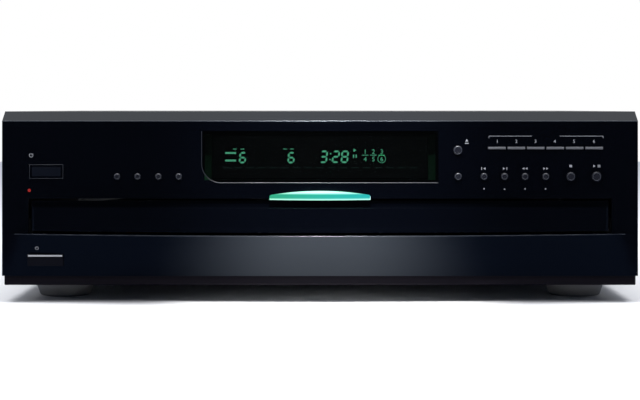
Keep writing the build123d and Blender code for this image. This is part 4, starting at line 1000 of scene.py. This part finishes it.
pin = turned("pin", ((0, 0), (0.42, 0), (0.42, 0.5), (0.28, 0.9), (0.25, 1.3), (0, 1.4)), 8)
ride(set_on("chip_pins", pin, pin_spots, tinned), "chassis")
sleeve_blue = surface("sleeve_blue", (0.03, 0.06, 0.20), 0.3, grain=1200, depth=0.01)
sleeve = turned("sleeve", ((5.0, 0), (5.2, 0.2), (5.2, 1.6), (5.0, 2.0), (5.2, 2.4), (5.2, 14.9), (5.0, 15.3),
                           (4.2, 15.3), (4.2, 15.0), (4.8, 14.9)), 36)
capacitor_spots = [((board_low.x + x, board_low.y + y, board_top), up)
                   for y in (16, 30) for x in (14, 30, 46)]
ride(set_on("capacitor_sleeves", sleeve, capacitor_spots, sleeve_blue), "chassis")
lid = turned("lid", ((0, 0), (4.4, 0), (4.4, 0.1), (2.4, 0.1), (2.3, 0.0), (2.2, 0.1), (0, 0.1)), 32)
lid_spots = [((x, y, z + 15.0), way) for (x, y, z), way in capacitor_spots]
ride(set_on("capacitor_tops", lid, lid_spots, tinned), "chassis")
connector_x, connector_y = board_high.x - 8.5, board_low.y + 38
cream = surface("cream", (0.60, 0.55, 0.42), 0.4, grain=900, depth=0.02)
connector = package("connector", connector_x, connector_y, board_top, 7.2, 40.2, 7.5)
ride(connector, "chassis", cream)
contact_spots = [((connector_x + side * 1.6, connector_y + 2.5 * n, board_top + 7.5), up)
                 for side in (-1, 1) for n in range(-7, 8)]
contact = turned("contact", ((0, 0), (0.5, 0), (0.5, 0.6), (0.3, 0.9), (0, 0.9)), 8)
ride(set_on("contacts", contact, contact_spots, tinned), "chassis")
small_screws("board_screws", [((x, y, board_top), up) for x in (board_low.x + 6, board_high.x - 6)
                              for y in (board_low.y + 6, board_high.y - 24)])


# ---- Mains transformer ----
# A stack of varnished iron laminations round a bobbin, with layers of enamelled copper wire wound on
# it and two leads to the main board.
core_iron = surface("core_iron", (0.16, 0.15, 0.14), 0.42, grain=300, depth=0.10, metallic=0.7,
                    stretch=(1, 1, 9))
copper = surface("copper", (0.55, 0.20, 0.07), 0.28, grain=700, depth=0.02, metallic=0.8)
dress(core_iron, "power_transformer")
core_low, core_high = lowest("power_transformer"), highest("power_transformer")
core_middle = middle("power_transformer")
turn_path = []
for quadrant, (x, y) in enumerate(((1, 1), (-1, 1), (-1, -1), (1, -1))):
    for n in range(4):
        a = (quadrant + n / 3) * pi / 2
        turn_path.append((core_middle.x + x * 16 + 3.2 * cos(a),
                          core_middle.y + y * 27 + 3.2 * sin(a)))
loops = [[(x, y, core_low.z + 7 + layer) for x, y in turn_path] for layer in range(23)]
ride(bead("winding", loops, 0.52, copper, closed=True), "chassis")
sheet_path = [(core_low.x + 8, core_low.y + 14), (core_high.x - 8, core_low.y + 14),
              (core_high.x - 8, core_high.y - 14), (core_low.x + 8, core_high.y - 14)]
sheets = [[(x, y, core_low.z + 3 + 1.5 * layer) for x, y in sheet_path] for layer in range(21)]
ride(bead("laminations", sheets, 0.25, core_iron, closed=True), "chassis")
for name, apart, material in (("mains_lead_red", 0.0, lead_red), ("mains_lead_black", 2.2, lead_black)):
    path = [
        (core_high.x - 14, core_high.y - 2, core_low.z + 12 + apart),
        (core_high.x - 8, core_high.y + 6, core_low.z + 6),
        (core_high.x + 8, core_high.y + 10, core_low.z + 1.2),
        (core_high.x + 40, core_high.y + 12 + apart, core_low.z + 1.0),
        (board_low.x - 14, core_high.y + 12 + apart, core_low.z + 1.0),
        (board_low.x - 3, core_high.y + 9 + apart, core_low.z + 4),
        (board_low.x + 5, core_high.y + 6 + apart, board_top + 0.9),
    ]
    ride(bead(name, [path], 0.75, material), "chassis")
small_screws("transformer_screws", [((x, y, core_low.z + 2), up) for x in (core_low.x + 4, core_high.x - 4)
                                    for y in (core_low.y + 6, core_high.y - 6)])


# ---- Sockets and cord gland ----
# Two phono jacks with nickel shells round a red and a white insert, the optical socket with its
# shutter, and the rubber gland that holds the mains cord.
jack_plastic = surface("jack_plastic", (0.016, 0.016, 0.018), 0.4, grain=900, depth=0.03)
nickel = surface("nickel", (0.66, 0.64, 0.58), 0.2, grain=400, depth=0.01, metallic=1.0)
dress(jack_plastic, "audio_jacks", "optical_output")
dress(rubber, "cord_gland")
behind = (0, 1, 0)
jack_end = highest("audio_jacks").y
white_spot, red_spot = (((x, jack_end, 31.0), behind) for x in (112.0, 126.0))
shell = turned("shell", ((3.0, -0.1), (4.15, -0.1), (4.15, -6.6), (4.22, -6.6), (4.22, -0.2), (4.0, 0),
                         (3.2, 0), (3.0, -0.05)), 40)
ride(set_on("jack_shells", shell, [white_spot, red_spot], nickel), "chassis")
for name, spot, colour in (("jack_insert_white", white_spot, (0.7, 0.7, 0.68)),
                           ("jack_insert_red", red_spot, (0.5, 0.02, 0.02))):
    insert = turned(name + "_item", ((1.7, -0.3), (3, -0.3), (3, -0.02), (2.8, 0), (1.9, 0), (1.7, -0.1)), 36)
    glossy = surface(name, colour, 0.35, grain=900, depth=0.01)
    ride(set_on(name, insert, [spot], glossy), "chassis")
shutter = bmesh.new()
shutter_x, shutter_z, shutter_front = 164.0, 31.0, highest("optical_output").y - 0.45
outer, inner = ([shutter.verts.new(Vector((shutter_x + x * reach, y, shutter_z + z * reach)) / 1000)
                 for x, z in ((-1, -1), (1, -1), (1, 1), (-1, 1))]
                for reach, y in ((3.1, shutter_front - 0.4), (2.6, shutter_front)))
shutter.faces.new(inner)
shutter.faces.new(outer)
for n in range(4):
    after = (n + 1) % 4
    shutter.faces.new((outer[n], inner[n], inner[after], outer[after]))
bmesh.ops.recalc_face_normals(shutter, faces=shutter.faces)
ride(link_mesh("optical_shutter", shutter), "chassis", motor_end)
